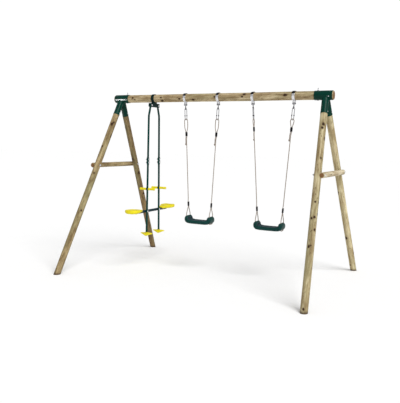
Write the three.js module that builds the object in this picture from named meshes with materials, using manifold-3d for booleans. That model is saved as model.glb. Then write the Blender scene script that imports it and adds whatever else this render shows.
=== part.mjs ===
// Wooden garden swing set: a round beam on two A-frames, a two-seat glider and two rope swings.
// Millimetres, +Z up, +X along the beam, -Y towards the front.
// The origin is on the ground under the middle of the beam.

import * as THREE from 'three';
import { mergeVertices } from 'three/addons/utils/BufferGeometryUtils.js';
import Module from 'manifold-3d';

const wasm = await Module();
wasm.setup();

// ---- driving dimensions -----------------------------------------------------------------------

const GAP = 0.4;                  // clearance between pieces that touch
const ROUND = 20;                 // sides of a pole
const PAST = 60;                  // how far a cutter runs past what it cuts
const GROUND_REACH = 2000;        // the ground that cuts the legs level

// frame
const BEAM_HEIGHT = 2105;         // axis of the beam above the ground
const BEAM_RADIUS = 48;
const BEAM_HALF = 1415;
const LEG_RADIUS = 38;
const LEG_TOP_X = 1326;           // where the leg axes meet the beam axis
const LEG_FOOT_X = 1490;
const LEG_FOOT_Y = 1065;
const LEG_START = 80;             // distance from the beam axis to the top of a leg
const POLE_CHAMFER = 5;

// corner bracket
const SLEEVE_INNER_X = 1206;
const SLEEVE_OUTER_X = 1406;
const STEEL_WALL = 3;
const SOCKET_END = 230;           // distance from the beam axis to the mouth of a socket
const WEB_BOTTOM = 1958;          // lower edge of the web between the two sockets
const WEB_THICK = 6;

// crossbar
const CROSSBAR_HEIGHT = 1265;
const CROSSBAR_RADIUS = 30;
const CROSSBAR_HALF = 458;
const CROSSBAR_OFFSET = 50;       // distance from the leg axis to the crossbar axis

// bolts
const BOLT_RADIUS = 5;
const HEAD_RADIUS = 11;
const HEAD_HEIGHT = 6;
const BRACKET_BOLT_X = 1240;
const BRACKET_BOLT_STUD = 30;     // how far the bolt stands up above the sleeve

// glider
const GLIDER_X = -840;
const TOP_PIVOT_Y = 80;
const TOP_PIVOT_Z = 2018;
const BEND_Y = 121;
const BEND_Z = 1893;
const ARM_FOOT_Y = 146;
const ARM_FOOT_Z = 412;
const TUBE_RADIUS = 12.5;
const TUBE_BORE = 10.5;
const FLARE_RADIUS = 15.5;
const ARM_EYE_RADIUS = 15;
const JOINT_TOP_Z = 1372;         // the lower tube is widened over the end of the upper one
const JOINT_BOTTOM_Z = 1286;
const JOINT_BOLT_Z = 1348;
const SEAT_BAR_Z = 700;
const SEAT_BAR_HALF = 372;
const SEAT_BAR_WIDE = 25;
const SEAT_BAR_TALL = 30;
const SEAT_BAR_WALL = 2;
const SEAT_BAR_OFFSET = 27;       // the seat bar runs beside the arms
const SLOT_TRAVEL = 5.6;          // the rear pivot's slot runs this far towards the middle
const HANDLE_Z = 981;
const HANDLE_HALF = 100;
const HANDLE_RADIUS = 8;
const GRIP_RADIUS = 16;
const GRIP_HALF = 107;
const GRIP_START = 17;
const FOOTREST_HALF_X = 86;
const FOOTREST_HALF_Y = 42;
const FOOTREST_TOP = 430;
const FOOTREST_TALL = 40;
const SADDLE_INNER_Y = 240;
const SADDLE_OUTER_Y = 505;
const SADDLE_BOTTOM = 696;
const SADDLE_TOP = 746;

// beam clamp of the glider
const CHANNEL_HALF_Y = 100;
const CHANNEL_HALF_X = 20;
const CHANNEL_TOP = 2044;
const CHANNEL_BOTTOM = 1998;
const STRAP_HALF_X = 20;
const STRAP_WALL = 4;
const STRAP_SADDLE_HALF_Y = 36;   // half width of the block between the strap and the channel

// swings: hanger places along the beam, and how far each loop and its top clamp hang down
const PIVOT_Z = 2022;
const SWINGS = [
  { name: 'swing_1', centre: -172, topHalf: 220, clampTop: 328, turns: [0, 0] },
  { name: 'swing_2', centre: 731, topHalf: 244, clampTop: 262, turns: [90, 0] },
];
const BAND_HALF_X = 16;
const BAND_WALL = 3;
const FORK_HALF_X = 15;
const FORK_WALL = 4;
const FORK_HALF_Y = 13;
const FORK_BELOW_PIN = 14;
const PIN_STANDS_OUT = 5;
const EYE_ROOM = 5;               // above the link's eye
const PIN_RADIUS = 5;
const EYE_RADIUS = 14;
const EYE_HALF_X = 8;
const LINK_WIRE = 4.5;
const LINK_HALF = 13;             // half width of the link between wire centres
const LINK_TOP = 46;              // below the pivot
const LINK_BOTTOM = 181.5;
const ROPE_RADIUS = 5;
const STRAND_APART = 6.2;         // half distance between two strands side by side
const ROPE_BOTTOM_HALF = 155;     // half distance between the two ropes of a swing at the seat
const UPPER_CLAMP_LENGTH = 50;
const LOWER_CLAMP_TOP = 1178;     // below the pivot
const LOWER_CLAMP_BOTTOM = 1232;
const CLAMP_HALF_WIDE = 14;
const CLAMP_HALF_DEEP = 9.5;
const HOLE_Y = 47;                // the rope's two holes at each end of a swing seat
const SEAT_BOTTOM = 582;
const SEAT_HALF_X = 178;
const SEAT_THICK = 46;
const SEAT_HALF_Y = 76;

// ---- materials --------------------------------------------------------------------------------

const finish = (color, roughness, metalness) =>
  new THREE.MeshStandardMaterial({ color, roughness, metalness });
const timber = finish(0xb8a77a, 0.8, 0);
const greenSteel = finish(0x0c4538, 0.4, 0.2);
const tubeSteel = finish(0x17463c, 0.4, 0.2);
const zinc = finish(0xb9bdc0, 0.4, 0.9);
const yellowPlastic = finish(0xe6d92c, 0.5, 0);
const greenPlastic = finish(0x133f3b, 0.5, 0);
const blackPlastic = finish(0x1a1a1a, 0.5, 0);
const ropeFibre = finish(0xcfc4b4, 0.9, 0);

// ---- helpers ----------------------------------------------------------------------------------

const object = new THREE.Group();
const vec = (x, y, z) => new THREE.Vector3(x, y, z);

/** Adds one named sub-part to a group. */
function add(name, geometry, material, parent = object) {
  const mesh = new THREE.Mesh(geometry, material);
  mesh.name = name;
  parent.add(mesh);
  return mesh;
}

/** Turns a closed geometry into a solid that can be cut and joined. */
function solid(geometry) {
  const bare = geometry.clone();
  bare.deleteAttribute('normal');
  bare.deleteAttribute('uv');
  const merged = mergeVertices(bare, 1e-3);
  return new wasm.Manifold(new wasm.Mesh({
    numProp: 3,
    vertProperties: new Float32Array(merged.attributes.position.array),
    triVerts: new Uint32Array(merged.index.array),
  }));
}

/** Gives the geometry of a solid. */
function shape(manifold) {
  const mesh = manifold.getMesh();
  const geometry = new THREE.BufferGeometry();
  geometry.setAttribute('position', new THREE.BufferAttribute(mesh.vertProperties, 3));
  geometry.setIndex(new THREE.BufferAttribute(mesh.triVerts, 1));
  geometry.computeVertexNormals();
  return geometry;
}

/** A round bar between two points. */
function rod(from, to, radius, sides = ROUND) {
  const along = to.clone().sub(from);
  const bar = new THREE.CylinderGeometry(radius, radius, along.length(), sides);
  bar.applyQuaternion(new THREE.Quaternion().setFromUnitVectors(vec(0, 1, 0), along.normalize()));
  const middle = from.clone().add(to).multiplyScalar(0.5);
  return bar.translate(middle.x, middle.y, middle.z);
}

/** A round hole through everything between two points: its flats keep the gap to what it holds. */
function bore(from, to, radius, sides = ROUND) {
  return solid(rod(from, to, (radius + GAP) / Math.cos(Math.PI / sides), sides));
}

/** A turned shape: [radius, height] points from axis to axis, laid from a point along a direction. */
function turned(profile, from, direction, sides) {
  const lathe = new THREE.LatheGeometry(profile.map(([r, h]) => new THREE.Vector2(r, h)), sides);
  lathe.applyQuaternion(new THREE.Quaternion().setFromUnitVectors(vec(0, 1, 0), direction));
  return lathe.translate(from.x, from.y, from.z);
}

/** A pole with chamfered ends. */
function pole(from, to, radius, sides = ROUND) {
  const along = to.clone().sub(from);
  const length = along.length();
  const profile = [
    [0, 0], [radius - POLE_CHAMFER, 0], [radius, POLE_CHAMFER],
    [radius, length - POLE_CHAMFER], [radius - POLE_CHAMFER, length], [0, length],
  ];
  return turned(profile, from, along.normalize(), sides);
}

/** A box from its lowest to its highest corner. */
function box(x0, y0, z0, x1, y1, z1) {
  return new THREE.BoxGeometry(x1 - x0, y1 - y0, z1 - z0)
    .translate((x0 + x1) / 2, (y0 + y1) / 2, (z0 + z1) / 2);
}

/** A bolt with a domed head, a shank and a nut, from under its head to its end. */
function bolt(from, direction, grip, tail = 5) {
  const nutHeight = 9;
  const nut = 9.5;
  return turned([
    [0, -HEAD_HEIGHT], [HEAD_RADIUS, 0], [BOLT_RADIUS, 0], [BOLT_RADIUS, grip], [nut, grip],
    [nut, grip + nutHeight], [BOLT_RADIUS, grip + nutHeight + tail], [0, grip + nutHeight + tail],
  ], from, direction, 8);
}

/** A curve whose steps follow its points, so that bends get short steps and straights long ones. */
class Route extends THREE.CatmullRomCurve3 {
  getPointAt(u, target) {
    return this.getPoint(u, target);
  }

  getTangentAt(u, target) {
    return this.getTangent(u, target);
  }
}

/** A round tube of a radius along a list of points. */
function tube(points, radius, sides, bore = 0, perPoint = 1) {
  const route = new Route(points);
  const section = new THREE.Shape(new THREE.EllipseCurve(0, 0, radius, radius).getPoints(sides));
  if (bore > 0) {
    section.holes.push(new THREE.Path(new THREE.EllipseCurve(0, 0, bore, bore).getPoints(sides)));
  }
  const steps = (points.length - 1) * perPoint;
  return new THREE.ExtrudeGeometry(section, { steps, extrudePath: route, bevelEnabled: false });
}

/** A flat outline extruded along X, drawn in Y and Z. */
function plateAcrossX(outline, x0, x1) {
  const plate = new THREE.ExtrudeGeometry(outline, { depth: x1 - x0, bevelEnabled: false });
  plate.applyMatrix4(new THREE.Matrix4().makeBasis(vec(0, 1, 0), vec(0, 0, 1), vec(1, 0, 0)));
  return plate.translate(x0, 0, 0);
}

/** An outline in X and Y, extruded upwards. */
function slab(outline, z0, z1) {
  return new THREE.ExtrudeGeometry(outline, { depth: z1 - z0, bevelEnabled: false }).translate(0, 0, z0);
}

/** An outline in X and Z, extruded along Y. */
function plateAcrossY(outline, y0, y1) {
  const plate = new THREE.ExtrudeGeometry(outline, { depth: y1 - y0, bevelEnabled: false });
  plate.applyMatrix4(new THREE.Matrix4().makeBasis(vec(1, 0, 0), vec(0, 0, 1), vec(0, -1, 0)));
  return plate.translate(0, y1, 0);
}

// ---- frame ------------------------------------------------------------------------------------

/** A point on a leg's axis, at a distance from the beam's axis. */
function legPoint(sideX, sideY, distance) {
  const top = vec(sideX * LEG_TOP_X, 0, BEAM_HEIGHT);
  const foot = vec(sideX * LEG_FOOT_X, sideY * LEG_FOOT_Y, 0);
  return top.add(foot.sub(top).normalize().multiplyScalar(distance));
}

const LEG_LENGTH = vec(LEG_FOOT_X - LEG_TOP_X, LEG_FOOT_Y, BEAM_HEIGHT).length();
const crossShare = 1 - CROSSBAR_HEIGHT / BEAM_HEIGHT;
const CROSS_LEG_X = LEG_TOP_X + (LEG_FOOT_X - LEG_TOP_X) * crossShare;
const CROSS_LEG_Y = LEG_FOOT_Y * crossShare;
const SPIGOT_RADIUS = LEG_RADIUS - STEEL_WALL;
const SLEEVE_RADIUS = BEAM_RADIUS + 2 * GAP + STEEL_WALL;

const sideName = { '-1': 'left', 1: 'right' };
const depthName = { '-1': 'front', 1: 'back' };

function beam() {
  let body = solid(pole(vec(-BEAM_HALF, 0, BEAM_HEIGHT), vec(BEAM_HALF, 0, BEAM_HEIGHT), BEAM_RADIUS));
  for (const side of [-1, 1]) {
    body = body.subtract(bracketBoltHole(side));
  }
  return shape(body);
}

/** The hole for the bolt that goes down through a bracket and the beam. */
function bracketBoltHole(side) {
  const x = side * BRACKET_BOLT_X;
  const reach = BEAM_RADIUS + PAST;
  return bore(vec(x, 0, BEAM_HEIGHT - reach), vec(x, 0, BEAM_HEIGHT + reach), BOLT_RADIUS, 8);
}

/** A leg: thick pole, turned down at the top to fit its socket, cut level at the ground. */
function leg(sideX, sideY) {
  const shoulder = SOCKET_END + GAP;
  const at = (distance) => legPoint(sideX, sideY, distance);
  const spigot = solid(rod(at(LEG_START), at(shoulder + PAST), SPIGOT_RADIUS));
  const body = solid(rod(at(shoulder), at(LEG_LENGTH + PAST), LEG_RADIUS));
  const ground = solid(box(-GROUND_REACH, -GROUND_REACH, -2 * PAST, GROUND_REACH, GROUND_REACH, 0));
  return shape(body.add(spigot).subtract(ground).subtract(crossbarHole(sideX, sideY)));
}

function crossbarHole(sideX, sideY) {
  const y = sideY * CROSS_LEG_Y;
  const inner = vec(sideX * (CROSS_LEG_X - LEG_RADIUS - PAST), y, CROSSBAR_HEIGHT);
  const outer = vec(sideX * (CROSS_LEG_X + CROSSBAR_OFFSET + CROSSBAR_RADIUS + PAST), y, CROSSBAR_HEIGHT);
  return bore(inner, outer, BOLT_RADIUS, 8);
}

/** A crossbar on the outer side of an A-frame, hollowed where it lies on the legs. */
function crossbar(side) {
  const x = side * (CROSS_LEG_X + CROSSBAR_OFFSET);
  const front = vec(x, -CROSSBAR_HALF, CROSSBAR_HEIGHT);
  const back = vec(x, CROSSBAR_HALF, CROSSBAR_HEIGHT);
  let body = solid(pole(front, back, CROSSBAR_RADIUS));
  for (const depth of [-1, 1]) {
    const legAbove = legPoint(side, depth, LEG_LENGTH / 4);
    const legBelow = legPoint(side, depth, LEG_LENGTH / 2);
    const saddle = bore(legAbove, legBelow, LEG_RADIUS);
    body = body.subtract(saddle).subtract(crossbarHole(side, depth));
  }
  return shape(body);
}

/** A steel corner: a sleeve round the beam and two welded sockets for the legs, with a web between. */
function bracket(side) {
  const onBeam = (x) => vec(side * x, 0, BEAM_HEIGHT);
  let body = solid(rod(onBeam(SLEEVE_INNER_X), onBeam(SLEEVE_OUTER_X), SLEEVE_RADIUS));
  let bores = bore(onBeam(SLEEVE_INNER_X - PAST), onBeam(SLEEVE_OUTER_X + PAST), BEAM_RADIUS);
  for (const depth of [-1, 1]) {
    const at = (distance) => legPoint(side, depth, distance);
    body = body.add(solid(rod(at(0), at(SOCKET_END), LEG_RADIUS + GAP)));
    bores = bores.add(bore(at(SLEEVE_RADIUS), at(SOCKET_END + PAST), SPIGOT_RADIUS));
  }
  const socketMouth = legPoint(1, 1, SOCKET_END);
  const webTall = BEAM_HEIGHT - WEB_BOTTOM;
  const webHalf = webTall * socketMouth.y / (BEAM_HEIGHT - socketMouth.z);
  const web = new THREE.Shape([
    new THREE.Vector2(0, BEAM_HEIGHT),
    new THREE.Vector2(-webHalf, WEB_BOTTOM),
    new THREE.Vector2(webHalf, WEB_BOTTOM),
  ]);
  const webX = side * legPoint(1, 1, webTall).x;
  body = body.add(solid(plateAcrossX(web, webX - WEB_THICK / 2, webX + WEB_THICK / 2)));
  return shape(body.subtract(bores).subtract(bracketBoltHole(side)));
}

add('top_beam', beam(), timber);
for (const side of [-1, 1]) {
  const hand = sideName[side];
  add(`corner_bracket_${hand}`, bracket(side), greenSteel);
  const under = vec(side * BRACKET_BOLT_X, 0, BEAM_HEIGHT - SLEEVE_RADIUS - GAP);
  const grip = 2 * (SLEEVE_RADIUS + GAP);
  add(`bracket_bolt_${hand}`, bolt(under, vec(0, 0, 1), grip, BRACKET_BOLT_STUD - 10), zinc);
  add(`crossbar_${hand}`, crossbar(side), timber);
  for (const depth of [-1, 1]) {
    const place = `${depthName[depth]}_${hand}`;
    add(`leg_${place}`, leg(side, depth), timber);
    const outside = CROSS_LEG_X + CROSSBAR_OFFSET + CROSSBAR_RADIUS + GAP;
    const inside = CROSS_LEG_X - LEG_RADIUS - 3;
    const head = vec(side * outside, depth * CROSS_LEG_Y, CROSSBAR_HEIGHT);
    add(`crossbar_bolt_${place}`, bolt(head, vec(-side, 0, 0), outside - inside), zinc);
  }
}

// ---- glider -----------------------------------------------------------------------------------

/** A point in the glider's plane. */
const onGlider = (y, z) => vec(GLIDER_X, y, z);

/** Half the distance between the arms at a height below their bend. */
function armY(z) {
  const share = (BEND_Z - z) / (BEND_Z - ARM_FOOT_Z);
  return BEND_Y + (ARM_FOOT_Y - BEND_Y) * share;
}

/** A strap round the beam, welded to a channel that holds both top pivots. */
function gliderClamp() {
  const onBeam = (x) => vec(GLIDER_X + x, 0, BEAM_HEIGHT);
  const block = (halfX, halfY, z0, z1) => solid(
    box(GLIDER_X - halfX, -halfY, z0, GLIDER_X + halfX, halfY, z1));
  const bandRadius = BEAM_RADIUS + 2 * GAP + STRAP_WALL;
  const band = solid(rod(onBeam(-STRAP_HALF_X), onBeam(STRAP_HALF_X), bandRadius));
  const saddleTop = BEAM_HEIGHT - BEAM_RADIUS / 2;
  const saddle = block(STRAP_HALF_X, STRAP_SADDLE_HALF_Y, CHANNEL_TOP - STEEL_WALL, saddleTop);
  const channel = block(CHANNEL_HALF_X, CHANNEL_HALF_Y, CHANNEL_BOTTOM, CHANNEL_TOP);
  const hollow = block(CHANNEL_HALF_X - STEEL_WALL, CHANNEL_HALF_Y + PAST, CHANNEL_BOTTOM - PAST,
    CHANNEL_TOP - STEEL_WALL);
  const beamHole = bore(onBeam(-PAST), onBeam(PAST), BEAM_RADIUS);
  let body = band.add(saddle).add(channel).subtract(hollow).subtract(beamHole);
  for (const depth of [-1, 1]) {
    body = body.subtract(acrossGlider(depth * TOP_PIVOT_Y, TOP_PIVOT_Z, BOLT_RADIUS));
  }
  return shape(body);
}

/** A cutter along X through the glider's plane. */
function acrossGlider(y, z, radius) {
  return bore(vec(GLIDER_X - PAST, y, z), vec(GLIDER_X + PAST, y, z), radius, 8);
}

/** The upper half of an arm: an eye on the top pivot, a bend, and a straight tube to the joint. */
function upperArm(depth) {
  const points = [
    onGlider(depth * TOP_PIVOT_Y, TOP_PIVOT_Z),
    onGlider(depth * (TOP_PIVOT_Y + 8), TOP_PIVOT_Z - 24),
    onGlider(depth * (BEND_Y - 12), BEND_Z + 32),
    onGlider(depth * (BEND_Y - 3), BEND_Z + 6),
    onGlider(depth * armY(BEND_Z - 28), BEND_Z - 28),
    onGlider(depth * armY(BEND_Z - 60), BEND_Z - 60),
    onGlider(depth * armY(JOINT_BOTTOM_Z + 40), JOINT_BOTTOM_Z + 40),
    onGlider(depth * armY(JOINT_BOTTOM_Z), JOINT_BOTTOM_Z),
  ];
  const y = depth * TOP_PIVOT_Y;
  const eyeEnd = (side) => vec(GLIDER_X + side * ARM_EYE_RADIUS, y, TOP_PIVOT_Z);
  const eye = rod(eyeEnd(-1), eyeEnd(1), ARM_EYE_RADIUS, 12);
  const arm = solid(tube(points, TUBE_RADIUS, 10, TUBE_BORE)).add(solid(eye));
  return shape(arm.subtract(acrossGlider(y, TOP_PIVOT_Z, BOLT_RADIUS))
    .subtract(acrossArm(depth, JOINT_BOLT_Z, BOLT_RADIUS)));
}

/** A cutter along X through an arm. */
function acrossArm(depth, z, radius) {
  return acrossGlider(depth * armY(z), z, radius);
}

/** The lower half of an arm, widened at the top over the upper tube. */
function lowerArm(depth) {
  const at = (z) => onGlider(depth * armY(z), z);
  const outer = solid(rod(at(JOINT_TOP_Z), at(ARM_FOOT_Z), TUBE_RADIUS, 10));
  const flare = solid(rod(at(JOINT_TOP_Z), at(JOINT_BOTTOM_Z - 8), FLARE_RADIUS, 10));
  const inside = solid(rod(at(JOINT_TOP_Z + PAST), at(ARM_FOOT_Z - PAST), TUBE_BORE, 10));
  const flareBore = bore(at(JOINT_TOP_Z + PAST), at(JOINT_BOTTOM_Z - GAP), TUBE_RADIUS, 10);
  return shape(outer.add(flare).subtract(inside).subtract(flareBore)
    .subtract(acrossArm(depth, JOINT_BOLT_Z, BOLT_RADIUS))
    .subtract(acrossArm(depth, SEAT_BAR_Z, BOLT_RADIUS))
    .subtract(acrossArm(depth, HANDLE_Z, HANDLE_RADIUS)));
}

/** The bar that carries both seats. It turns on the arms; its rear hole is a slot. */
function seatBar() {
  const x = GLIDER_X - SEAT_BAR_OFFSET;
  const bar = (halfX, halfY, halfZ) => solid(box(
    x - halfX, -halfY, SEAT_BAR_Z - halfZ, x + halfX, halfY, SEAT_BAR_Z + halfZ));
  const outer = bar(SEAT_BAR_WIDE / 2, SEAT_BAR_HALF, SEAT_BAR_TALL / 2);
  const [innerHalfX, innerHalfZ] = [SEAT_BAR_WIDE / 2 - SEAT_BAR_WALL, SEAT_BAR_TALL / 2 - SEAT_BAR_WALL];
  const inner = bar(innerHalfX, SEAT_BAR_HALF + PAST, innerHalfZ);
  const y = armY(SEAT_BAR_Z);
  const hole = (holeY) => acrossGlider(holeY, SEAT_BAR_Z, BOLT_RADIUS);
  const slotHalf = BOLT_RADIUS + GAP;
  const slot = solid(box(
    x - PAST, y - SLOT_TRAVEL, SEAT_BAR_Z - slotHalf, x + PAST, y, SEAT_BAR_Z + slotHalf));
  return shape(outer.subtract(inner).subtract(hole(y)).subtract(hole(y - SLOT_TRAVEL)).subtract(slot)
    .subtract(hole(-y)));
}

/** A moulded footrest: a pointed pad for each foot and a deeper middle round the end of the arm. */
function footrest(depth) {
  const y = depth * armY(FOOTREST_TOP);
  const plan = new THREE.Shape();
  plan.moveTo(-FOOTREST_HALF_X, -8);
  plan.quadraticCurveTo(-30, -FOOTREST_HALF_Y, 0, -FOOTREST_HALF_Y);
  plan.quadraticCurveTo(30, -FOOTREST_HALF_Y, FOOTREST_HALF_X, -8);
  plan.lineTo(FOOTREST_HALF_X, 8);
  plan.quadraticCurveTo(30, FOOTREST_HALF_Y, 0, FOOTREST_HALF_Y);
  plan.quadraticCurveTo(-30, FOOTREST_HALF_Y, -FOOTREST_HALF_X, 8);
  plan.closePath();
  const side = new THREE.Shape();
  side.moveTo(-FOOTREST_HALF_X - 1, FOOTREST_TOP);
  side.lineTo(-FOOTREST_HALF_X - 1, FOOTREST_TOP - 12);
  side.quadraticCurveTo(-35, FOOTREST_TOP - 16, 0, FOOTREST_TOP - FOOTREST_TALL);
  side.quadraticCurveTo(35, FOOTREST_TOP - 16, FOOTREST_HALF_X + 1, FOOTREST_TOP - 12);
  side.lineTo(FOOTREST_HALF_X + 1, FOOTREST_TOP);
  side.closePath();
  const seenFromSide = solid(plateAcrossY(side, -PAST, PAST));
  const seenFromAbove = solid(slab(plan, FOOTREST_TOP - PAST, FOOTREST_TOP + 1));
  const pad = seenFromSide.intersect(seenFromAbove);
  const armAt = (z) => onGlider(depth * armY(z), z);
  const end = bore(armAt(FOOTREST_TOP + PAST), armAt(ARM_FOOT_Z - GAP), TUBE_RADIUS, 10);
  return shape(solid(shape(pad).translate(GLIDER_X, y, 0)).subtract(end));
}

/** A saddle seat at one end of the seat bar: narrow towards the arms, wide and round at the outside. */
function saddle(depth) {
  const x = GLIDER_X - SEAT_BAR_OFFSET;
  const plan = new THREE.Shape();
  const inner = SADDLE_INNER_Y;
  const outer = SADDLE_OUTER_Y;
  plan.moveTo(-30, inner);
  plan.quadraticCurveTo(0, inner - 12, 30, inner);
  plan.bezierCurveTo(45, inner + 60, 88, inner + 90, 88, outer - 75);
  plan.bezierCurveTo(88, outer - 10, 45, outer, 0, outer);
  plan.bezierCurveTo(-45, outer, -88, outer - 10, -88, outer - 75);
  plan.bezierCurveTo(-88, inner + 90, -45, inner + 60, -30, inner);
  const pad = slab(plan, SADDLE_BOTTOM, SADDLE_TOP);
  if (depth < 0) {
    pad.rotateZ(Math.PI);
  }
  pad.translate(x, 0, 0);
  const half = SEAT_BAR_WIDE / 2 + GAP;
  const channel = box(x - half, -SEAT_BAR_HALF - GAP, SADDLE_BOTTOM - 20,
    x + half, SEAT_BAR_HALF + GAP, SEAT_BAR_Z + SEAT_BAR_TALL / 2 + GAP);
  return shape(solid(pad).subtract(solid(channel)));
}

/** A hand grip: closed at its outer end, with collars at both ends. */
function grip(depth, side) {
  const from = vec(GLIDER_X + side * GRIP_START, depth * armY(HANDLE_Z), HANDLE_Z);
  const length = GRIP_HALF - GRIP_START;
  const sides = 10;
  const inside = (HANDLE_RADIUS + GAP) / Math.cos(Math.PI / sides);
  const end = HANDLE_HALF - GRIP_START + GAP;
  return turned([
    [0, end], [inside, end], [inside, 0], [GRIP_RADIUS, 0],
    [GRIP_RADIUS, 8], [GRIP_RADIUS - 2, 12], [GRIP_RADIUS - 1.5, length - 12], [GRIP_RADIUS, length - 6],
    [GRIP_RADIUS - 5, length], [0, length],
  ], from, vec(side, 0, 0), sides);
}

add('glider_beam_clamp', gliderClamp(), greenSteel);
add('glider_seat_bar', seatBar(), tubeSteel);
for (const depth of [-1, 1]) {
  const end = depth < 0 ? 'front' : 'rear';
  const outside = GLIDER_X + CHANNEL_HALF_X + GAP;
  const pivot = vec(outside, depth * TOP_PIVOT_Y, TOP_PIVOT_Z);
  add(`glider_top_pivot_${end}`, bolt(pivot, vec(-1, 0, 0), 2 * (CHANNEL_HALF_X + GAP)), zinc);
  add(`glider_upper_tube_${end}`, upperArm(depth), tubeSteel);
  add(`glider_lower_tube_${end}`, lowerArm(depth), tubeSteel);
  const joint = FLARE_RADIUS + GAP;
  const jointHead = vec(GLIDER_X + joint, depth * armY(JOINT_BOLT_Z), JOINT_BOLT_Z);
  add(`glider_joint_bolt_${end}`, bolt(jointHead, vec(-1, 0, 0), 2 * joint, 3), zinc);
  const barHead = vec(GLIDER_X + TUBE_RADIUS + GAP, depth * armY(SEAT_BAR_Z), SEAT_BAR_Z);
  const barGrip = TUBE_RADIUS + SEAT_BAR_OFFSET + SEAT_BAR_WIDE / 2 + 2 * GAP;
  add(`glider_seat_pivot_${end}`, bolt(barHead, vec(-1, 0, 0), barGrip), zinc);
  const y = depth * armY(HANDLE_Z);
  const handleEnd = (side) => vec(GLIDER_X + side * HANDLE_HALF, y, HANDLE_Z);
  add(`glider_handlebar_${end}`, rod(handleEnd(-1), handleEnd(1), HANDLE_RADIUS, 12), tubeSteel);
  for (const side of [-1, 1]) {
    add(`glider_grip_${end}_${sideName[side]}`, grip(depth, side), yellowPlastic);
  }
  add(`glider_footrest_${end}`, footrest(depth), yellowPlastic);
  add(`glider_saddle_${end}`, saddle(depth), yellowPlastic);
}

// ---- swings -----------------------------------------------------------------------------------

/** A band round the beam with a fork below it; the fork's pin carries the swing. */
function hanger(x) {
  const onBeam = (shift) => vec(x + shift, 0, BEAM_HEIGHT);
  const onPivot = (shift) => vec(x + shift, 0, PIVOT_Z);
  const ring = rod(onBeam(-BAND_HALF_X), onBeam(BAND_HALF_X), BEAM_RADIUS + 2 * GAP + BAND_WALL, 16);
  const fork = box(x - FORK_HALF_X, -FORK_HALF_Y, PIVOT_Z - FORK_BELOW_PIN,
    x + FORK_HALF_X, FORK_HALF_Y, BEAM_HEIGHT - BEAM_RADIUS / 2);
  const gapHalf = FORK_HALF_X - FORK_WALL;
  const slot = box(x - gapHalf, -PAST, PIVOT_Z - PAST, x + gapHalf, PAST, PIVOT_Z + EYE_RADIUS + EYE_ROOM);
  const hole = bore(onBeam(-PAST), onBeam(PAST), BEAM_RADIUS, 16);
  const pinHalf = FORK_HALF_X + PIN_STANDS_OUT;
  const pin = rod(onPivot(-pinHalf), onPivot(pinHalf), PIN_RADIUS, 10);
  return shape(solid(ring).add(solid(fork)).subtract(hole).subtract(solid(slot)).add(solid(pin)));
}

/** The frame of one rope: its origin is at the hanger's pin and it looks down the rope. */
function ropeFrame(swing, side) {
  const top = vec(swing.centre + side * swing.topHalf, 0, PIVOT_Z);
  const bottom = vec(swing.centre + side * ROPE_BOTTOM_HALF, 0, PIVOT_Z - LOWER_CLAMP_BOTTOM);
  const down = bottom.clone().sub(top).normalize();
  const across = vec(0, 1, 0).cross(down).negate();
  const turn = THREE.MathUtils.degToRad(swing.turns[side < 0 ? 0 : 1]);
  return {
    at: (u, v, w) => vec(0, v, 0).add(top).addScaledVector(across, u).addScaledVector(down, w),
    turn,
    loop(a, w) {
      return this.at(a * Math.cos(turn), a * Math.sin(turn), w);
    },
    axes: new THREE.Matrix4().makeBasis(across, vec(0, 1, 0), down.clone().negate()).setPosition(top),
  };
}

/** The link: an eye on the fork's pin, a swivel neck and a long closed ring for the rope. */
function link(frame) {
  const eye = rod(frame.at(-EYE_HALF_X, 0, 0), frame.at(EYE_HALF_X, 0, 0), EYE_RADIUS, 12);
  const hole = bore(frame.at(-30, 0, 0), frame.at(30, 0, 0), PIN_RADIUS + 0.6, 10);
  const neckEnd = LINK_TOP + 2;
  const neckProfile = [[0, 0], [5, 0], [5, 12], [9, 16], [9, 21], [5, 25], [5, neckEnd], [0, neckEnd]];
  const neckStart = frame.at(0, 0, EYE_RADIUS - 4);
  const neck = turned(neckProfile, neckStart, frame.at(0, 0, 1).sub(frame.at(0, 0, 0)), 8);
  const ring = oval(LINK_HALF + LINK_WIRE);
  ring.holes.push(oval(LINK_HALF - LINK_WIRE));
  const flat = { depth: 2 * LINK_WIRE, bevelEnabled: false, curveSegments: 4 };
  const plate = new THREE.ExtrudeGeometry(ring, flat);
  plate.translate(0, 0, -LINK_WIRE);
  plate.rotateX(Math.PI / 2);
  plate.rotateZ(Math.PI / 2 + frame.turn);
  plate.applyMatrix4(frame.axes);
  return shape(solid(eye).add(solid(neck)).subtract(hole).add(solid(plate)));
}

/** An upright oval of the link's length, whose ends have a radius. */
function oval(radius) {
  const outline = new THREE.Shape();
  outline.absarc(0, -LINK_TOP - LINK_HALF, radius, 0, Math.PI);
  outline.absarc(0, LINK_HALF - LINK_BOTTOM, radius, Math.PI, 2 * Math.PI);
  outline.closePath();
  return outline;
}

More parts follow.
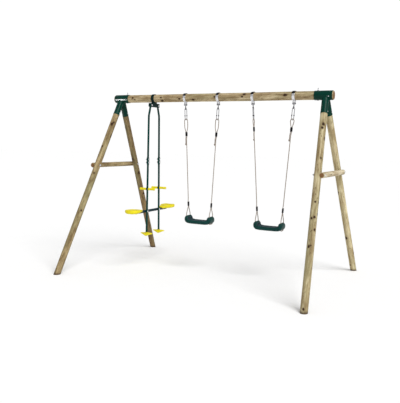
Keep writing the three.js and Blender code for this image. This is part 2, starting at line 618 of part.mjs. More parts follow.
/** The rope of one side: from its tail up round the link, down to the seat, through it and back up. */
function ropePoints(swing, side) {
  const frame = ropeFrame(swing, side);
  const top = swing.clampTop;
  const end = top + UPPER_CLAMP_LENGTH;
  const x = swing.centre + side * ROPE_BOTTOM_HALF;
  const strand = LOWER_CLAMP_BOTTOM;
  const below = PIVOT_Z - strand;
  return [
    frame.loop(-12, end + 92), frame.loop(-11.4, end + 62), frame.loop(-10.8, end + 30),
    frame.loop(-STRAND_APART, end), frame.loop(-STRAND_APART, top),
    frame.loop(-12, top - 22), frame.loop(-19, top - 52), frame.loop(-20.5, 193),
    frame.loop(-17.5, 180), frame.loop(-10, 172.5), frame.loop(0, 169.6), frame.loop(10, 172.5),
    frame.loop(17.5, 180), frame.loop(20.5, 193), frame.loop(19, top - 52), frame.loop(12, top - 22),
    frame.loop(STRAND_APART, top), frame.loop(STRAND_APART, end),
    frame.loop(0.6, end + 30), frame.at(0, 0, end + 62), frame.at(0, 0, end + 160),
    frame.at(0, 0, 800), frame.at(0, 0, LOWER_CLAMP_TOP - 140), frame.at(0, 0, LOWER_CLAMP_TOP - 60),
    frame.at(0, -1.6, LOWER_CLAMP_TOP - 28),
    frame.at(0, -STRAND_APART, LOWER_CLAMP_TOP), frame.at(0, -STRAND_APART, LOWER_CLAMP_BOTTOM),
    vec(x, -17, below - 28), vec(x, -37, below - 70), vec(x, -HOLE_Y + 2, below - 96),
    vec(x, -HOLE_Y, SEAT_BOTTOM + 80), vec(x, -HOLE_Y, SEAT_BOTTOM + 28),
    vec(x, -HOLE_Y + 6, SEAT_BOTTOM + 13), vec(x, -HOLE_Y + 20, SEAT_BOTTOM + 6.5),
    vec(x, 0, SEAT_BOTTOM + 6),
    vec(x, HOLE_Y - 20, SEAT_BOTTOM + 6.5), vec(x, HOLE_Y - 6, SEAT_BOTTOM + 13),
    vec(x, HOLE_Y, SEAT_BOTTOM + 28), vec(x, HOLE_Y, SEAT_BOTTOM + 80),
    vec(x, HOLE_Y - 2, below - 96), vec(x, 37, below - 70), vec(x, 17, below - 28),
    frame.at(0, STRAND_APART, LOWER_CLAMP_BOTTOM), frame.at(0, STRAND_APART, LOWER_CLAMP_TOP + 20),
  ];
}

/** A moulded clamp round the two strands of a rope, wide in the plane of the strands. */
function clamp(swing, side, from, to, upper) {
  const frame = ropeFrame(swing, side);
  const outline = new THREE.Shape();
  const [wide, deep, corner] = [CLAMP_HALF_WIDE, CLAMP_HALF_DEEP, 5];
  outline.absarc(wide - corner, deep - corner, corner, 0, Math.PI / 2);
  outline.absarc(corner - wide, deep - corner, corner, Math.PI / 2, Math.PI);
  outline.absarc(corner - wide, corner - deep, corner, Math.PI, 1.5 * Math.PI);
  outline.absarc(wide - corner, corner - deep, corner, 1.5 * Math.PI, 2 * Math.PI);
  const long = { depth: to - from, bevelEnabled: false, curveSegments: 2 };
  const block = new THREE.ExtrudeGeometry(outline, long);
  block.rotateZ(upper ? frame.turn : Math.PI / 2);
  block.translate(0, 0, -to);
  block.applyMatrix4(frame.axes);
  let body = solid(block);
  for (const strand of [-STRAND_APART, STRAND_APART]) {
    const end = (w) => (upper ? frame.loop(strand, w) : frame.at(0, strand, w));
    body = body.subtract(bore(end(from - PAST), end(to + PAST), ROPE_RADIUS, 8));
  }
  return shape(body);
}

/** The outline of a swing seat seen from the front: a shallow trough that ends in two thick rolls. */
function seatOutline() {
  const outline = new THREE.Shape();
  const half = SEAT_HALF_X;
  outline.moveTo(0, 0);
  outline.lineTo(half - 90, 0);
  outline.bezierCurveTo(half - 45, 2, half - 12, 22, half - 2, 62);
  outline.bezierCurveTo(half + 2, 88, half - 10, 104, half - 30, 104);
  outline.bezierCurveTo(half - 56, 104, half - 62, 92, half - 68, 74);
  outline.bezierCurveTo(half - 76, 60, half - 92, 50, half - 130, SEAT_THICK);
  outline.lineTo(130 - half, SEAT_THICK);
  outline.bezierCurveTo(92 - half, 50, 76 - half, 60, 68 - half, 74);
  outline.bezierCurveTo(62 - half, 92, 56 - half, 104, 30 - half, 104);
  outline.bezierCurveTo(10 - half, 104, -half - 2, 88, 2 - half, 62);
  outline.bezierCurveTo(12 - half, 22, 45 - half, 2, 90 - half, 0);
  outline.closePath();
  return outline;
}

/** A swing seat seen from above: a rectangle with rounded corners. */
function seatPlan() {
  const plan = new THREE.Shape();
  const half = SEAT_HALF_X + 2;
  const straight = half - 84;
  plan.moveTo(-straight, -SEAT_HALF_Y);
  plan.lineTo(straight, -SEAT_HALF_Y);
  plan.quadraticCurveTo(half, -SEAT_HALF_Y, half, -26);
  plan.lineTo(half, 26);
  plan.quadraticCurveTo(half, SEAT_HALF_Y, straight, SEAT_HALF_Y);
  plan.lineTo(-straight, SEAT_HALF_Y);
  plan.quadraticCurveTo(-half, SEAT_HALF_Y, -half, 26);
  plan.lineTo(-half, -26);
  plan.quadraticCurveTo(-half, -SEAT_HALF_Y, -straight, -SEAT_HALF_Y);
  plan.closePath();
  return plan;
}

function swingSeat(swing) {
  const deep = { depth: 2 * SEAT_HALF_Y, bevelEnabled: false, curveSegments: 4 };
  const body = new THREE.ExtrudeGeometry(seatOutline(), deep);
  body.applyMatrix4(new THREE.Matrix4().makeBasis(vec(1, 0, 0), vec(0, 0, 1), vec(0, -1, 0)));
  body.translate(swing.centre, SEAT_HALF_Y, SEAT_BOTTOM);
  const fromAbove = slab(seatPlan(), SEAT_BOTTOM - PAST, SEAT_BOTTOM + 2 * PAST);
  let seat = solid(body).intersect(solid(fromAbove.translate(swing.centre, 0, 0)));
  for (const side of [-1, 1]) {
    seat = seat.subtract(solid(tube(ropePoints(swing, side), ROPE_RADIUS + 3 * GAP, 8)));
  }
  return shape(seat);
}

for (const swing of SWINGS) {
  for (const side of [-1, 1]) {
    const hand = `${swing.name}_${sideName[side]}`;
    const x = swing.centre + side * swing.topHalf;
    add(`${hand}_hanger`, hanger(x), zinc);
    add(`${hand}_link`, link(ropeFrame(swing, side)), zinc);
    add(`${hand}_rope`, tube(ropePoints(swing, side), ROPE_RADIUS, 8), ropeFibre);
    const upperEnd = swing.clampTop + UPPER_CLAMP_LENGTH;
    add(`${hand}_upper_clamp`, clamp(swing, side, swing.clampTop, upperEnd, true), blackPlastic);
    const lowerClamp = clamp(swing, side, LOWER_CLAMP_TOP, LOWER_CLAMP_BOTTOM, false);
    add(`${hand}_lower_clamp`, lowerClamp, blackPlastic);
  }
  add(`${swing.name}_seat`, swingSeat(swing), greenPlastic);
}

export default object;
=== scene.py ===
"""Garden swing set in Blender: timber A-frames, green steel corners, a glider and two rope swings.

Metres, +Z up, +X along the beam, -Y towards the front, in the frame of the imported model.
"""

import math
import random

import bmesh
import bpy
import numpy as np
from mathutils import Matrix, Vector


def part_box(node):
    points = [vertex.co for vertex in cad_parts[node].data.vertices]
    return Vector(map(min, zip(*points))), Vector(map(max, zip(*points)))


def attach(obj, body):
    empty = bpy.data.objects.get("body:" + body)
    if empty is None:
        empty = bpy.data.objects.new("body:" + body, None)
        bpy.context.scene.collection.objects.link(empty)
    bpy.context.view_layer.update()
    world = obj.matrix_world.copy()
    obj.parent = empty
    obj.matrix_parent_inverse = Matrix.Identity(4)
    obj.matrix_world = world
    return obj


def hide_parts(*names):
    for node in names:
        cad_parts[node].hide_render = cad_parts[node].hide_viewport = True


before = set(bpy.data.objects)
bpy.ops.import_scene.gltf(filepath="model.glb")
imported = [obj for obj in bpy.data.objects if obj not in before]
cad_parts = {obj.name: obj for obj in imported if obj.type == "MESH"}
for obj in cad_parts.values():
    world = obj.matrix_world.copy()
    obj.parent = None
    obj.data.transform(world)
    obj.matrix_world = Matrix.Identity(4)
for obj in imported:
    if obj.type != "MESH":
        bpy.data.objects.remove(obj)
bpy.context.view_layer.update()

# ---- sizes ------------------------------------------------------------------------------------

UP = Vector((0, 0, 1))
ALONG = Vector((1, 0, 0))
SIDES = {"left": -1, "right": 1}


def corners(node):
    """The low and the high corner of a node's box."""
    return [Vector(corner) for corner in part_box(node)]


def middle(node):
    """The middle of a node's box."""
    low, high = corners(node)
    return (low + high) / 2


BEAM = middle("top_beam")
BEAM_HALF = corners("top_beam")[1].x
BEAM_RADIUS = 0.048
BEAM_BORE = BEAM_RADIUS + 0.0006
GAP = 0.0004                      # between pieces that lie against each other
LEG_RADIUS = 0.038
CROSSBAR_RADIUS = 0.030
LEG_TOP_X = 1.326                 # where the leg axes meet the beam axis
LEG_FOOT = Vector((1.490, 1.065, 0))
SOCKET_END = 0.230                # distance along a leg from the beam axis to its socket's mouth
SLEEVE_RADIUS = 0.0518
SOCKET_RADIUS = 0.0384
SPIGOT_RADIUS = 0.035
SPIGOT_START = 0.080              # distance along a leg from the beam axis to its spigot's top
LEG_SPARE = 0.06                  # length below the ground, which the level cut takes off
WEB_HALF = 0.003
WEB_DEPTH = 0.147
BRACKET_SCREW_X = 1.368
CROSSBAR_OFFSET = 0.050

GLIDER_X = middle("glider_beam_clamp").x
TOP_PIVOT = Vector((GLIDER_X, 0.080, 2.018))
BEND_Y, BEND_Z = 0.121, 1.893
ARM_FOOT_Y, ARM_FOOT_Z = 0.146, 0.412
JOINT_TOP_Z, JOINT_BOTTOM_Z = 1.372, 1.286
TUBE_RADIUS, TUBE_BORE, FLARE_RADIUS = 0.0125, 0.0105, 0.0155
SEAT_BAR = middle("glider_seat_bar")
JOINT_BOLTS_Z = (1.348, 1.310)
SLOT_TRAVEL = 0.0056
HANDLE_Z = 0.981
GRIP_START = 0.017                # from the arm's middle to the near end of a grip
FOOTREST_TOP = 0.430

PIVOT_Z = 2.022
BAND_HALF = 0.016
HOOK_HINGE = 0.131
SWINGS = (
    {"name": "swing_1", "centre": -0.172, "top_half": 0.220, "clamp_top": 0.328, "turns": (0, 0)},
    {"name": "swing_2", "centre": 0.731, "top_half": 0.244, "clamp_top": 0.262, "turns": (90, 0)},
)
ROPE_RADIUS = 0.005
STRAND_APART = 0.0062
ROPE_BOTTOM_HALF = 0.155
UPPER_CLAMP_LENGTH = 0.050
LOWER_CLAMP_TOP, LOWER_CLAMP_BOTTOM = 1.178, 1.232    # below the pivot, along the rope
HOLE_Y = 0.047
SEAT_BOTTOM = 0.582

# ---- camera -----------------------------------------------------------------------------------

CAMERA_PLACE = Vector((2.982, -6.181, 1.573))
CAMERA_YAW, CAMERA_PITCH, CAMERA_ROLL = (math.radians(a) for a in (27.014, 5.898, 1.177))
CAMERA_LENS = 51.14               # mm, on a 36 mm sensor
BACKDROP = 1.02
SKY_LIGHT = 0.50
SUN_LIGHT = 2.44
SUN_SPREAD = math.radians(38)
GLINT_PLACE = Vector((-4.44, -4.16, 0.36))
GLINT_LONG, GLINT_WIDE = 3.2, 0.40
GLINT_LIGHT = 3200


def make_camera():
    """A camera at standing height, to the right of the swing set."""
    data = bpy.data.cameras.new("camera")
    data.sensor_width = 36
    data.lens = CAMERA_LENS
    camera = bpy.data.objects.new("camera", data)
    bpy.context.scene.collection.objects.link(camera)
    forward = Vector((
        -math.sin(CAMERA_YAW) * math.cos(CAMERA_PITCH),
        math.cos(CAMERA_YAW) * math.cos(CAMERA_PITCH),
        -math.sin(CAMERA_PITCH),
    ))
    right = Vector((math.cos(CAMERA_YAW), math.sin(CAMERA_YAW), 0))
    up = right.cross(forward)
    roll = Matrix.Rotation(-CAMERA_ROLL, 3, forward)
    axes = Matrix((roll @ right, roll @ up, -forward)).transposed()
    camera.matrix_world = Matrix.Translation(CAMERA_PLACE) @ axes.to_4x4()
    bpy.context.scene.camera = camera


# ---- meshes -----------------------------------------------------------------------------------

class Shape:
    """Points and faces of a mesh that is put together from several shells."""

    def __init__(self):
        self.points = []
        self.faces = []
        self.paints = []

    def add(self, points, faces, paint=0, place=None):
        start = len(self.points)
        self.points += [place @ Vector(p) if place else Vector(p) for p in points]
        self.faces += [[start + i for i in face] for face in faces]
        self.paints += [paint] * len(faces)
        return self


def ring_faces(rings, count, closed=False):
    """Quads between rings of count points each."""
    faces = []
    for ring in range(rings if closed else rings - 1):
        a, b = ring * count, (ring + 1) % rings * count
        for i in range(count):
            j = (i + 1) % count
            faces.append([a + i, a + j, b + j, b + i])
    return faces


def capped(points, count, around):
    """A shape from a row of rings, closed at both ends."""
    faces = ring_faces(count, around)
    faces.append(list(range(around))[::-1])
    faces.append([(count - 1) * around + i for i in range(around)])
    return Shape().add(points, faces)


def plate(outline, x0, x1):
    """A flat plate between two places along X, from an outline of (y, z) points."""
    count = len(outline)
    points = [(x0, y, z) for y, z in outline] + [(x1, y, z) for y, z in outline]
    faces = [list(range(count)), list(range(count, 2 * count))[::-1]]
    faces += [[i, i + count, (i + 1) % count + count, (i + 1) % count] for i in range(count)]
    return Shape().add(points, faces)


def clip(value):
    """A value held between 0 and 1."""
    return min(1.0, max(0.0, value))


def squared(value, power):
    """A sine or cosine raised to a power, with its sign: below 1 it makes a circle squarer."""
    return math.copysign(abs(value) ** power, value)


def turned(profile, sides=32, place=None, shape=None, paint=0):
    """A shape turned round local Z from (radius, height) points, from axis to axis or back to its start."""
    shape = shape or Shape()
    open_ended = profile[0][0] > 0
    body = profile if open_ended else profile[1:-1]
    points = []
    for radius, height in body:
        for i in range(sides):
            angle = 2 * math.pi * i / sides
            points.append((radius * math.cos(angle), radius * math.sin(angle), height))
    faces = ring_faces(len(body), sides, closed=open_ended)
    if not open_ended:
        low, high = len(points), len(points) + 1
        points += [(0, 0, profile[0][1]), (0, 0, profile[-1][1])]
        last = (len(body) - 1) * sides
        for i in range(sides):
            j = (i + 1) % sides
            faces.append([low, j, i])
            faces.append([high, last + i, last + j])
    return shape.add(points, faces, paint, place)


def toward(start, direction, spin=0.0):
    """The placement whose local Z runs from a point along a direction."""
    z = Vector(direction).normalized()
    x = Vector((0, 1, 0)) if abs(z.y) < 0.9 else Vector((1, 0, 0))
    x = (x - z * x.dot(z)).normalized()
    y = z.cross(x)
    axes = Matrix((x, y, z)).transposed() @ Matrix.Rotation(spin, 3, "Z")
    return Matrix.Translation(start) @ axes.to_4x4()


def smooth_path(points, steps):
    """A Catmull-Rom curve through points, with a number of steps from each point to the next."""
    given = [Vector(p) for p in points]
    given = [given[0] * 2 - given[1], *given, given[-1] * 2 - given[-2]]
    path = []
    for a, b, c, d in zip(given, given[1:], given[2:], given[3:]):
        knots = [0.0]
        for p, q in ((a, b), (b, c), (c, d)):
            knots.append(knots[-1] + max((q - p).length, 1e-9) ** 0.5)
        for step in range(steps):
            t = knots[1] + (knots[2] - knots[1]) * step / steps
            path.append(centripetal((a, b, c, d), knots, t))
    path.append(given[-2])
    return path


def centripetal(points, knots, t):
    """A point of the Catmull-Rom curve between the middle two of four points."""
    level = list(points)
    for size in (1, 2):
        level = [
            mix(level[i], level[i + 1], knots[i], knots[i + size], t) for i in range(len(level) - 1)
        ]
    return mix(level[0], level[1], knots[1], knots[2], t)


def mix(a, b, start, end, t):
    return a * ((end - t) / (end - start)) + b * ((t - start) / (end - start))


def evenly(path, step):
    """The same path with points an even distance apart."""
    line = np.array([tuple(p) for p in path])
    along = np.concatenate([[0], np.cumsum(np.linalg.norm(np.diff(line, axis=0), axis=1))])
    at = np.linspace(0, along[-1], max(2, round(along[-1] / step) + 1))
    return [Vector([np.interp(d, along, line[:, k]) for k in range(3)]) for d in at]


def swept(path, section, shape=None, closed=False, paint=0):
    """A section swept along a path; section(i) gives the points (u, v) round the path's i-th point."""
    shape = shape or Shape()
    count = len(path)
    tangent = [
        (path[(i + 1) % count if closed else min(i + 1, count - 1)]
         - path[(i - 1) % count if closed else max(i - 1, 0)]).normalized()
        for i in range(count)
    ]
    side = Vector((0, 1, 0)) if abs(tangent[0].y) < 0.9 else Vector((1, 0, 0))
    points = []
    for i in range(count):
        side = (side - tangent[i] * side.dot(tangent[i])).normalized()
        other = tangent[i].cross(side)
        ring = section(i)
        points += [path[i] + side * u + other * v for u, v in ring]
    sides = len(ring)
    faces = ring_faces(count, sides, closed)
    if not closed:
        faces.append(list(range(sides))[::-1])
        faces.append([(count - 1) * sides + i for i in range(sides)])
    return shape.add(points, faces, paint)


def round_section(radius, sides=16):
    ring = [
        (radius * math.cos(2 * math.pi * i / sides), radius * math.sin(2 * math.pi * i / sides))
        for i in range(sides)
    ]
    return lambda i: ring


def wire(path, radius, sides=16, shape=None, closed=False, paint=0):
    """A round bar along a path."""
    return swept(path, round_section(radius, sides), shape, closed, paint)


def block(low, high, edge, shape=None, place=None, paint=0):
    """A box with rounded edges."""
    mesh = bmesh.new()
    bmesh.ops.create_cube(mesh, size=1)
    low, high = Vector(low), Vector(high)
    for v in mesh.verts:
        v.co = Vector([low[k] if v.co[k] < 0 else high[k] for k in range(3)])
    bmesh.ops.bevel(mesh, geom=list(mesh.edges), offset=edge, segments=3, profile=0.5, affect="EDGES")
    mesh.verts.ensure_lookup_table()
    mesh.verts.index_update()
    points = [v.co.copy() for v in mesh.verts]
    faces = [[v.index for v in face.verts] for face in mesh.faces]
    mesh.free()
    return (shape or Shape()).add(points, faces, paint, place)


def make(name, shape, materials, place=None, angle=35):
    """A mesh object from a shape, smooth but for its edges sharper than an angle."""
    mesh = bpy.data.meshes.new(name)
    mesh.from_pydata(shape.points, [], shape.faces)
    for material in materials:
        mesh.materials.append(material)
    mesh.polygons.foreach_set("material_index", shape.paints)
    mesh.polygons.foreach_set("use_smooth", [True] * len(mesh.polygons))
    mesh.update()
    work = bmesh.new()
    work.from_mesh(mesh)
    bmesh.ops.recalc_face_normals(work, faces=list(work.faces))
    work.to_mesh(mesh)
    work.free()
    mesh.set_sharp_from_angle(angle=math.radians(angle))
    piece = bpy.data.objects.new(name, mesh)
    bpy.context.scene.collection.objects.link(piece)
    if place:
        piece.matrix_world = place
    return piece


def combine(piece, others, operation, angle=35):
    """Joins other objects to a piece, or cuts them from it, and deletes them."""
    for other in others:
        modifier = piece.modifiers.new("combine", "BOOLEAN")
        modifier.operation = operation
        modifier.solver = "MANIFOLD"
        modifier.object = other
    graph = bpy.context.evaluated_depsgraph_get()
    made = bpy.data.meshes.new_from_object(piece.evaluated_get(graph), depsgraph=graph)
    piece.modifiers.clear()
    old = piece.data
    piece.data = made
    bpy.data.meshes.remove(old)
    for other in others:
        bpy.data.objects.remove(other)
    made.polygons.foreach_set("use_smooth", [True] * len(made.polygons))
    made.set_sharp_from_angle(angle=math.radians(angle))
    made.name = piece.name
    return piece


def place_on(piece, body, slot, *nodes):
    """Makes a piece ride on a body and stand for CAD nodes, which it hides; slot is not used."""
    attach(piece, body)
    if nodes:
        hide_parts(*nodes)
    return piece


# ---- materials --------------------------------------------------------------------------------

def linear(r, g, b):
    """A colour from its 0 to 255 display values."""
    def one(value):
        value /= 255
        return value / 12.92 if value <= 0.04045 else ((value + 0.055) / 1.055) ** 2.4
    return (one(r), one(g), one(b), 1)


class Nodes:
    """A material and short ways to add nodes to it."""

    def __init__(self, name, roughness, metallic=0.0):
        self.material = bpy.data.materials.new(name)
        self.material.use_nodes = True
        self.tree = self.material.node_tree
        self.shader = self.tree.nodes["Principled BSDF"]
        self.shader.inputs["Roughness"].default_value = roughness
        self.shader.inputs["Metallic"].default_value = metallic

    def add(self, kind, **settings):
        node = self.tree.nodes.new(kind)
        for key, value in settings.items():
            setattr(node, key, value)
        return node

    def link(self, source, target):
        self.tree.links.new(source, target)

    def fill(self, socket, value):
        if hasattr(value, "is_linked"):
            self.link(value, socket)
        else:
            socket.default_value = value

    def object_place(self):
        return self.add("ShaderNodeTexCoord").outputs["Object"]

    def attribute(self, name, output="Fac"):
        return self.add("ShaderNodeAttribute", attribute_name=name).outputs[output]

    def scaled(self, vector, scale):
        node = self.add("ShaderNodeVectorMath", operation="MULTIPLY")
        self.link(vector, node.inputs[0])
        node.inputs[1].default_value = scale
        return node.outputs[0]

    def noise(self, vector, scale, detail=3.0, roughness=0.55, distortion=0.0):
        node = self.add("ShaderNodeTexNoise")
        self.link(vector, node.inputs["Vector"])
        node.inputs["Scale"].default_value = scale
        node.inputs["Detail"].default_value = detail
        node.inputs["Roughness"].default_value = roughness
        node.inputs["Distortion"].default_value = distortion
        return node.outputs["Fac"]

    def math(self, operation, a, b=0.0):
        node = self.add("ShaderNodeMath", operation=operation)
        self.fill(node.inputs[0], a)
        self.fill(node.inputs[1], b)
        return node.outputs[0]

    def ramp(self, value, *stops):
        """Blends colours or grey levels by a value; a stop is (place, colour or level)."""
        node = self.add("ShaderNodeValToRGB")
        self.link(value, node.inputs[0])
        elements = node.color_ramp.elements
        while len(elements) < len(stops):
            elements.new(0.5)
        for element, (place, colour) in zip(elements, stops):
            element.position = place
            element.color = colour if isinstance(colour, tuple) else (colour, colour, colour, 1)
        return node.outputs[0]

    def blend(self, share, a, b, kind="MIX"):
        node = self.add("ShaderNodeMix", data_type="RGBA", blend_type=kind)
        self.fill(node.inputs[0], share)
        self.fill(node.inputs[6], a)
        self.fill(node.inputs[7], b)
        return node.outputs[2]

    def bump(self, height, distance, strength=1.0):
        node = self.add("ShaderNodeBump")
        node.inputs["Strength"].default_value = strength
        node.inputs["Distance"].default_value = distance
        self.link(height, node.inputs["Height"])
        self.link(node.outputs["Normal"], self.shader.inputs["Normal"])

    def finish(self, colour, roughness=None):
        self.link(colour, self.shader.inputs["Base Color"])
        if roughness is not None:
            self.link(roughness, self.shader.inputs["Roughness"])
        return self.material


def timber(name, pale, mid, dark, seed):
    """Pressure-treated pine: streaks and rings along the pole, knots and drying cracks."""
    n = Nodes(name, 0.75)
    n.shader.inputs["Specular IOR Level"].default_value = 0.2
    shifted = n.add("ShaderNodeVectorMath", operation="ADD")
    n.link(n.attribute("grain", "Vector"), shifted.inputs[0])
    shifted.inputs[1].default_value = (0, 0, seed)
    grain = shifted.outputs[0]
    wood, rings, fibre = timber_grain(n, grain, pale, mid, dark)
    wood = timber_marks(n, grain, wood, pale, dark)
    height = n.math("ADD", n.math("MULTIPLY", fibre, 0.6), n.math("MULTIPLY", rings, 0.5))
    n.bump(height, 0.0006, 0.7)
    return n.finish(wood, n.ramp(fibre, (0.3, 0.85), (0.8, 0.65)))


def timber_grain(n, grain, pale, mid, dark):
    """The colour along the grain, and the growth rings and fibres that also lift the surface."""
    broad = n.noise(n.scaled(grain, (1, 1, 0.06)), 42, detail=5, roughness=0.66)
    fine = n.noise(n.scaled(grain, (1, 1, 0.04)), 150, detail=3, roughness=0.6)
    fibre = n.noise(n.scaled(grain, (1, 1, 0.02)), 520, detail=2)
    waves = n.add("ShaderNodeTexWave", wave_type="RINGS", rings_direction="Z")
    n.link(n.scaled(grain, (1, 1, 0.12)), waves.inputs["Vector"])
    waves.inputs["Scale"].default_value = 40
    waves.inputs["Distortion"].default_value = 7
    waves.inputs["Detail"].default_value = 2.5
    waves.inputs["Detail Scale"].default_value = 0.6
    rings = n.ramp(waves.outputs["Fac"], (0.15, 1.0), (0.85, 0.0))
    wood = n.ramp(broad, (0.30, dark), (0.50, mid), (0.68, pale))
    wood = n.blend(n.ramp(fine, (0.30, 0.6), (0.55, 0.0)), wood, dark)
    wood = n.blend(n.math("MULTIPLY", rings, 0.35), wood, dark)
    wood = n.blend(n.ramp(fibre, (0.3, 0.35), (0.62, 0.0)), wood, dark)
    return wood, rings, fibre


def timber_marks(n, grain, wood, pale, dark):
    """Green treatment, blotches, flecks, knots ringed by stain, cracks, and painted shade darkening the feet
    next to the ground.
    """
    green = n.noise(n.scaled(grain, (1, 1, 0.25)), 7, detail=2)
    wood = n.blend(n.ramp(green, (0.45, 0.0), (0.7, 0.45)), wood, linear(140, 142, 104))
    blotch = n.noise(n.scaled(grain, (1, 1, 0.25)), 26, detail=4, roughness=0.6)
    wood = n.blend(n.ramp(blotch, (0.36, 0.7), (0.50, 0.0)), wood, dark)
    wood = n.blend(n.ramp(blotch, (0.54, 0.0), (0.70, 0.6)), wood, pale)
    fleck = n.noise(n.scaled(grain, (1, 1, 0.45)), 62, detail=2)
    wood = n.blend(n.ramp(fleck, (0.27, 0.85), (0.37, 0.0)), wood, linear(88, 64, 40))
    uneven = n.math("MULTIPLY", n.math("SUBTRACT", fleck, 0.5), 0.9)
    ragged = n.math("ADD", n.attribute("knot"), uneven)
    wood = n.blend(n.ramp(ragged, (0.1, 0.75), (0.9, 0.3), (1.0, 0.0)), wood, dark)
    wood = n.blend(n.ramp(ragged, (0.28, 1.0), (0.52, 0.85), (0.70, 0.0)), wood, linear(54, 34, 20))
    wood = n.blend(n.attribute("crack"), wood, linear(58, 42, 28))
    # Painted shade: the wood darkens towards the ground at the foot of each leg.
    return n.blend(n.math("MULTIPLY", n.attribute("foot"), 0.85), wood, linear(62, 44, 30))


def end_grain(name, pale, dark):
    """The sawn end of a pole, with its growth rings round an off-centre pith and dark spots."""
    n = Nodes(name, 0.85)
    n.shader.inputs["Specular IOR Level"].default_value = 0.2
    place = n.object_place()
    waves = n.add("ShaderNodeTexWave", wave_type="RINGS", rings_direction="Z")
    shifted = n.add("ShaderNodeVectorMath", operation="ADD")
    n.link(n.scaled(place, (1, 1, 0)), shifted.inputs[0])
    shifted.inputs[1].default_value = (0.007, -0.005, 0)
    n.link(shifted.outputs[0], waves.inputs["Vector"])
    waves.inputs["Scale"].default_value = 48
    waves.inputs["Distortion"].default_value = 1.6
    waves.inputs["Detail"].default_value = 2
    waves.inputs["Detail Scale"].default_value = 1.2
    wood = n.ramp(waves.outputs["Fac"], (0.2, dark), (0.75, pale))
    spot = n.noise(place, 60, detail=4)
    wood = n.blend(n.ramp(spot, (0.4, 0.0), (0.7, 0.5)), wood, dark)
    n.bump(waves.outputs["Fac"], 0.0005, 0.6)
    return n.finish(wood)


def painted_steel(name, colour, lighter, roughness):
    """Powder-coated steel: a fine orange-peel skin, with faint dust and rubbed spots."""
    n = Nodes(name, roughness)
    n.shader.inputs["Specular IOR Level"].default_value = 0.10
    place = n.object_place()
    cloud = n.noise(place, 14, detail=4)
    speck = n.noise(place, 260, detail=2)
    paint = n.blend(n.ramp(cloud, (0.38, 0.0), (0.72, 0.6)), colour, lighter)
    paint = n.blend(n.ramp(speck, (0.66, 0.0), (0.76, 0.25)), paint, lighter)
    n.bump(n.noise(place, 420, detail=1), 0.0003, 0.10)
    return n.finish(paint, n.ramp(cloud, (0.3, roughness - 0.02), (0.75, roughness + 0.05)))


def zinc_plate(name, colour, darker):
    """Zinc-plated steel with faint clouding and small scratches."""
    n = Nodes(name, 0.35, 1.0)
    place = n.object_place()
    cloud = n.noise(place, 55, detail=4)
    scratch = n.noise(n.scaled(place, (1, 1, 0.08)), 700, detail=2)
    metal = n.blend(n.ramp(cloud, (0.35, 0.0), (0.75, 0.7)), colour, darker)
    n.bump(scratch, 0.0001, 0.4)
    return n.finish(metal, n.ramp(cloud, (0.3, 0.28), (0.75, 0.5)))


def moulded_plastic(name, colour, worn, roughness, grain=900, depth=0.0002):
    """Moulded plastic: a fine spark-eroded skin, with scuffed and paler patches."""
    n = Nodes(name, roughness)
    n.shader.inputs["Specular IOR Level"].default_value = 0.14
    place = n.object_place()
    cloud = n.noise(place, 22, detail=5)
    scuff = n.noise(n.scaled(place, (0.3, 1, 1)), 160, detail=4, roughness=0.7)
    tint = n.blend(n.ramp(cloud, (0.4, 0.0), (0.75, 0.55)), colour, worn)
    tint = n.blend(n.ramp(scuff, (0.62, 0.0), (0.78, 0.3)), tint, worn)
    n.bump(n.noise(place, grain, detail=2), depth, 0.5)
    return n.finish(tint, n.ramp(scuff, (0.35, roughness), (0.75, roughness + 0.15)))


def rope_fibre(name, pale, dark):
    """Laid polypropylene rope: fine fibres along the strands, a little dirt, and painted shade in the
    valleys between strands.
    """
    n = Nodes(name, 0.8)
    n.shader.inputs["Specular IOR Level"].default_value = 0.15
    place = n.object_place()
    fibre = n.noise(n.scaled(place, (1, 1, 0.35)), 1400, detail=2)
    dirt = n.noise(place, 30, detail=4)
    colour = n.blend(n.ramp(fibre, (0.3, 0.0), (0.7, 1.0)), dark, pale)
    colour = n.blend(n.ramp(dirt, (0.45, 0.0), (0.75, 0.35)), colour, dark)
    # Painted shade: darker in the valleys between the strands.
    colour = n.blend(n.attribute("painted_valley_shade"), colour, dark)
    n.bump(fibre, 0.0004, 0.6)
    return n.finish(colour)


def studio_floor(name):
    n = Nodes(name, 0.9)
    n.shader.inputs["Specular IOR Level"].default_value = 0.1
    soft = n.noise(n.object_place(), 3, detail=2)
    return n.finish(n.ramp(soft, (0.0, linear(250, 250, 250)), (1.0, linear(252, 252, 252))))


beam_timber = timber(
    "timber_beam", linear(224, 208, 172), linear(192, 174, 136), linear(124, 102, 70), 5.0,
)
# Painted shade: a darkened copy of the right legs' timber, for the front right leg, which the light falls on
# more.
front_right_darkened_timber = timber(
    "timber_front_right_painted_shade", linear(216, 204, 168), linear(188, 173, 134), linear(126, 106, 72), 11.0,
)
# Painted light: a lightened copy of the same timber, for the back right leg, which stands in the shade.
back_right_lightened_timber = timber(
    "timber_back_right_painted_light", linear(232, 220, 182), linear(206, 192, 152), linear(146, 126, 88), 29.0,
)
cream_timber = timber(
    "timber_cream", linear(236, 226, 200), linear(210, 198, 168), linear(158, 138, 104), 17.0,
)
olive_timber = timber(
    "timber_olive", linear(194, 174, 132), linear(160, 140, 102), linear(100, 80, 50), 23.0,
)
brown_timber = timber(
    "timber_brown", linear(168, 144, 104), linear(142, 118, 82), linear(90, 68, 42), 37.0,
)
cut_end = end_grain("timber_end", linear(150, 112, 72), linear(98, 68, 40))
bracket_paint = painted_steel("bracket_paint", linear(0, 48, 38), linear(0, 60, 49), 0.26)
tube_paint = painted_steel("tube_paint", linear(2, 50, 44), linear(10, 68, 62), 0.36)
bar_paint = painted_steel("bar_paint", linear(22, 44, 50), linear(40, 62, 70), 0.36)
clamp_paint = painted_steel("clamp_paint", linear(4, 30, 28), linear(10, 44, 42), 0.36)
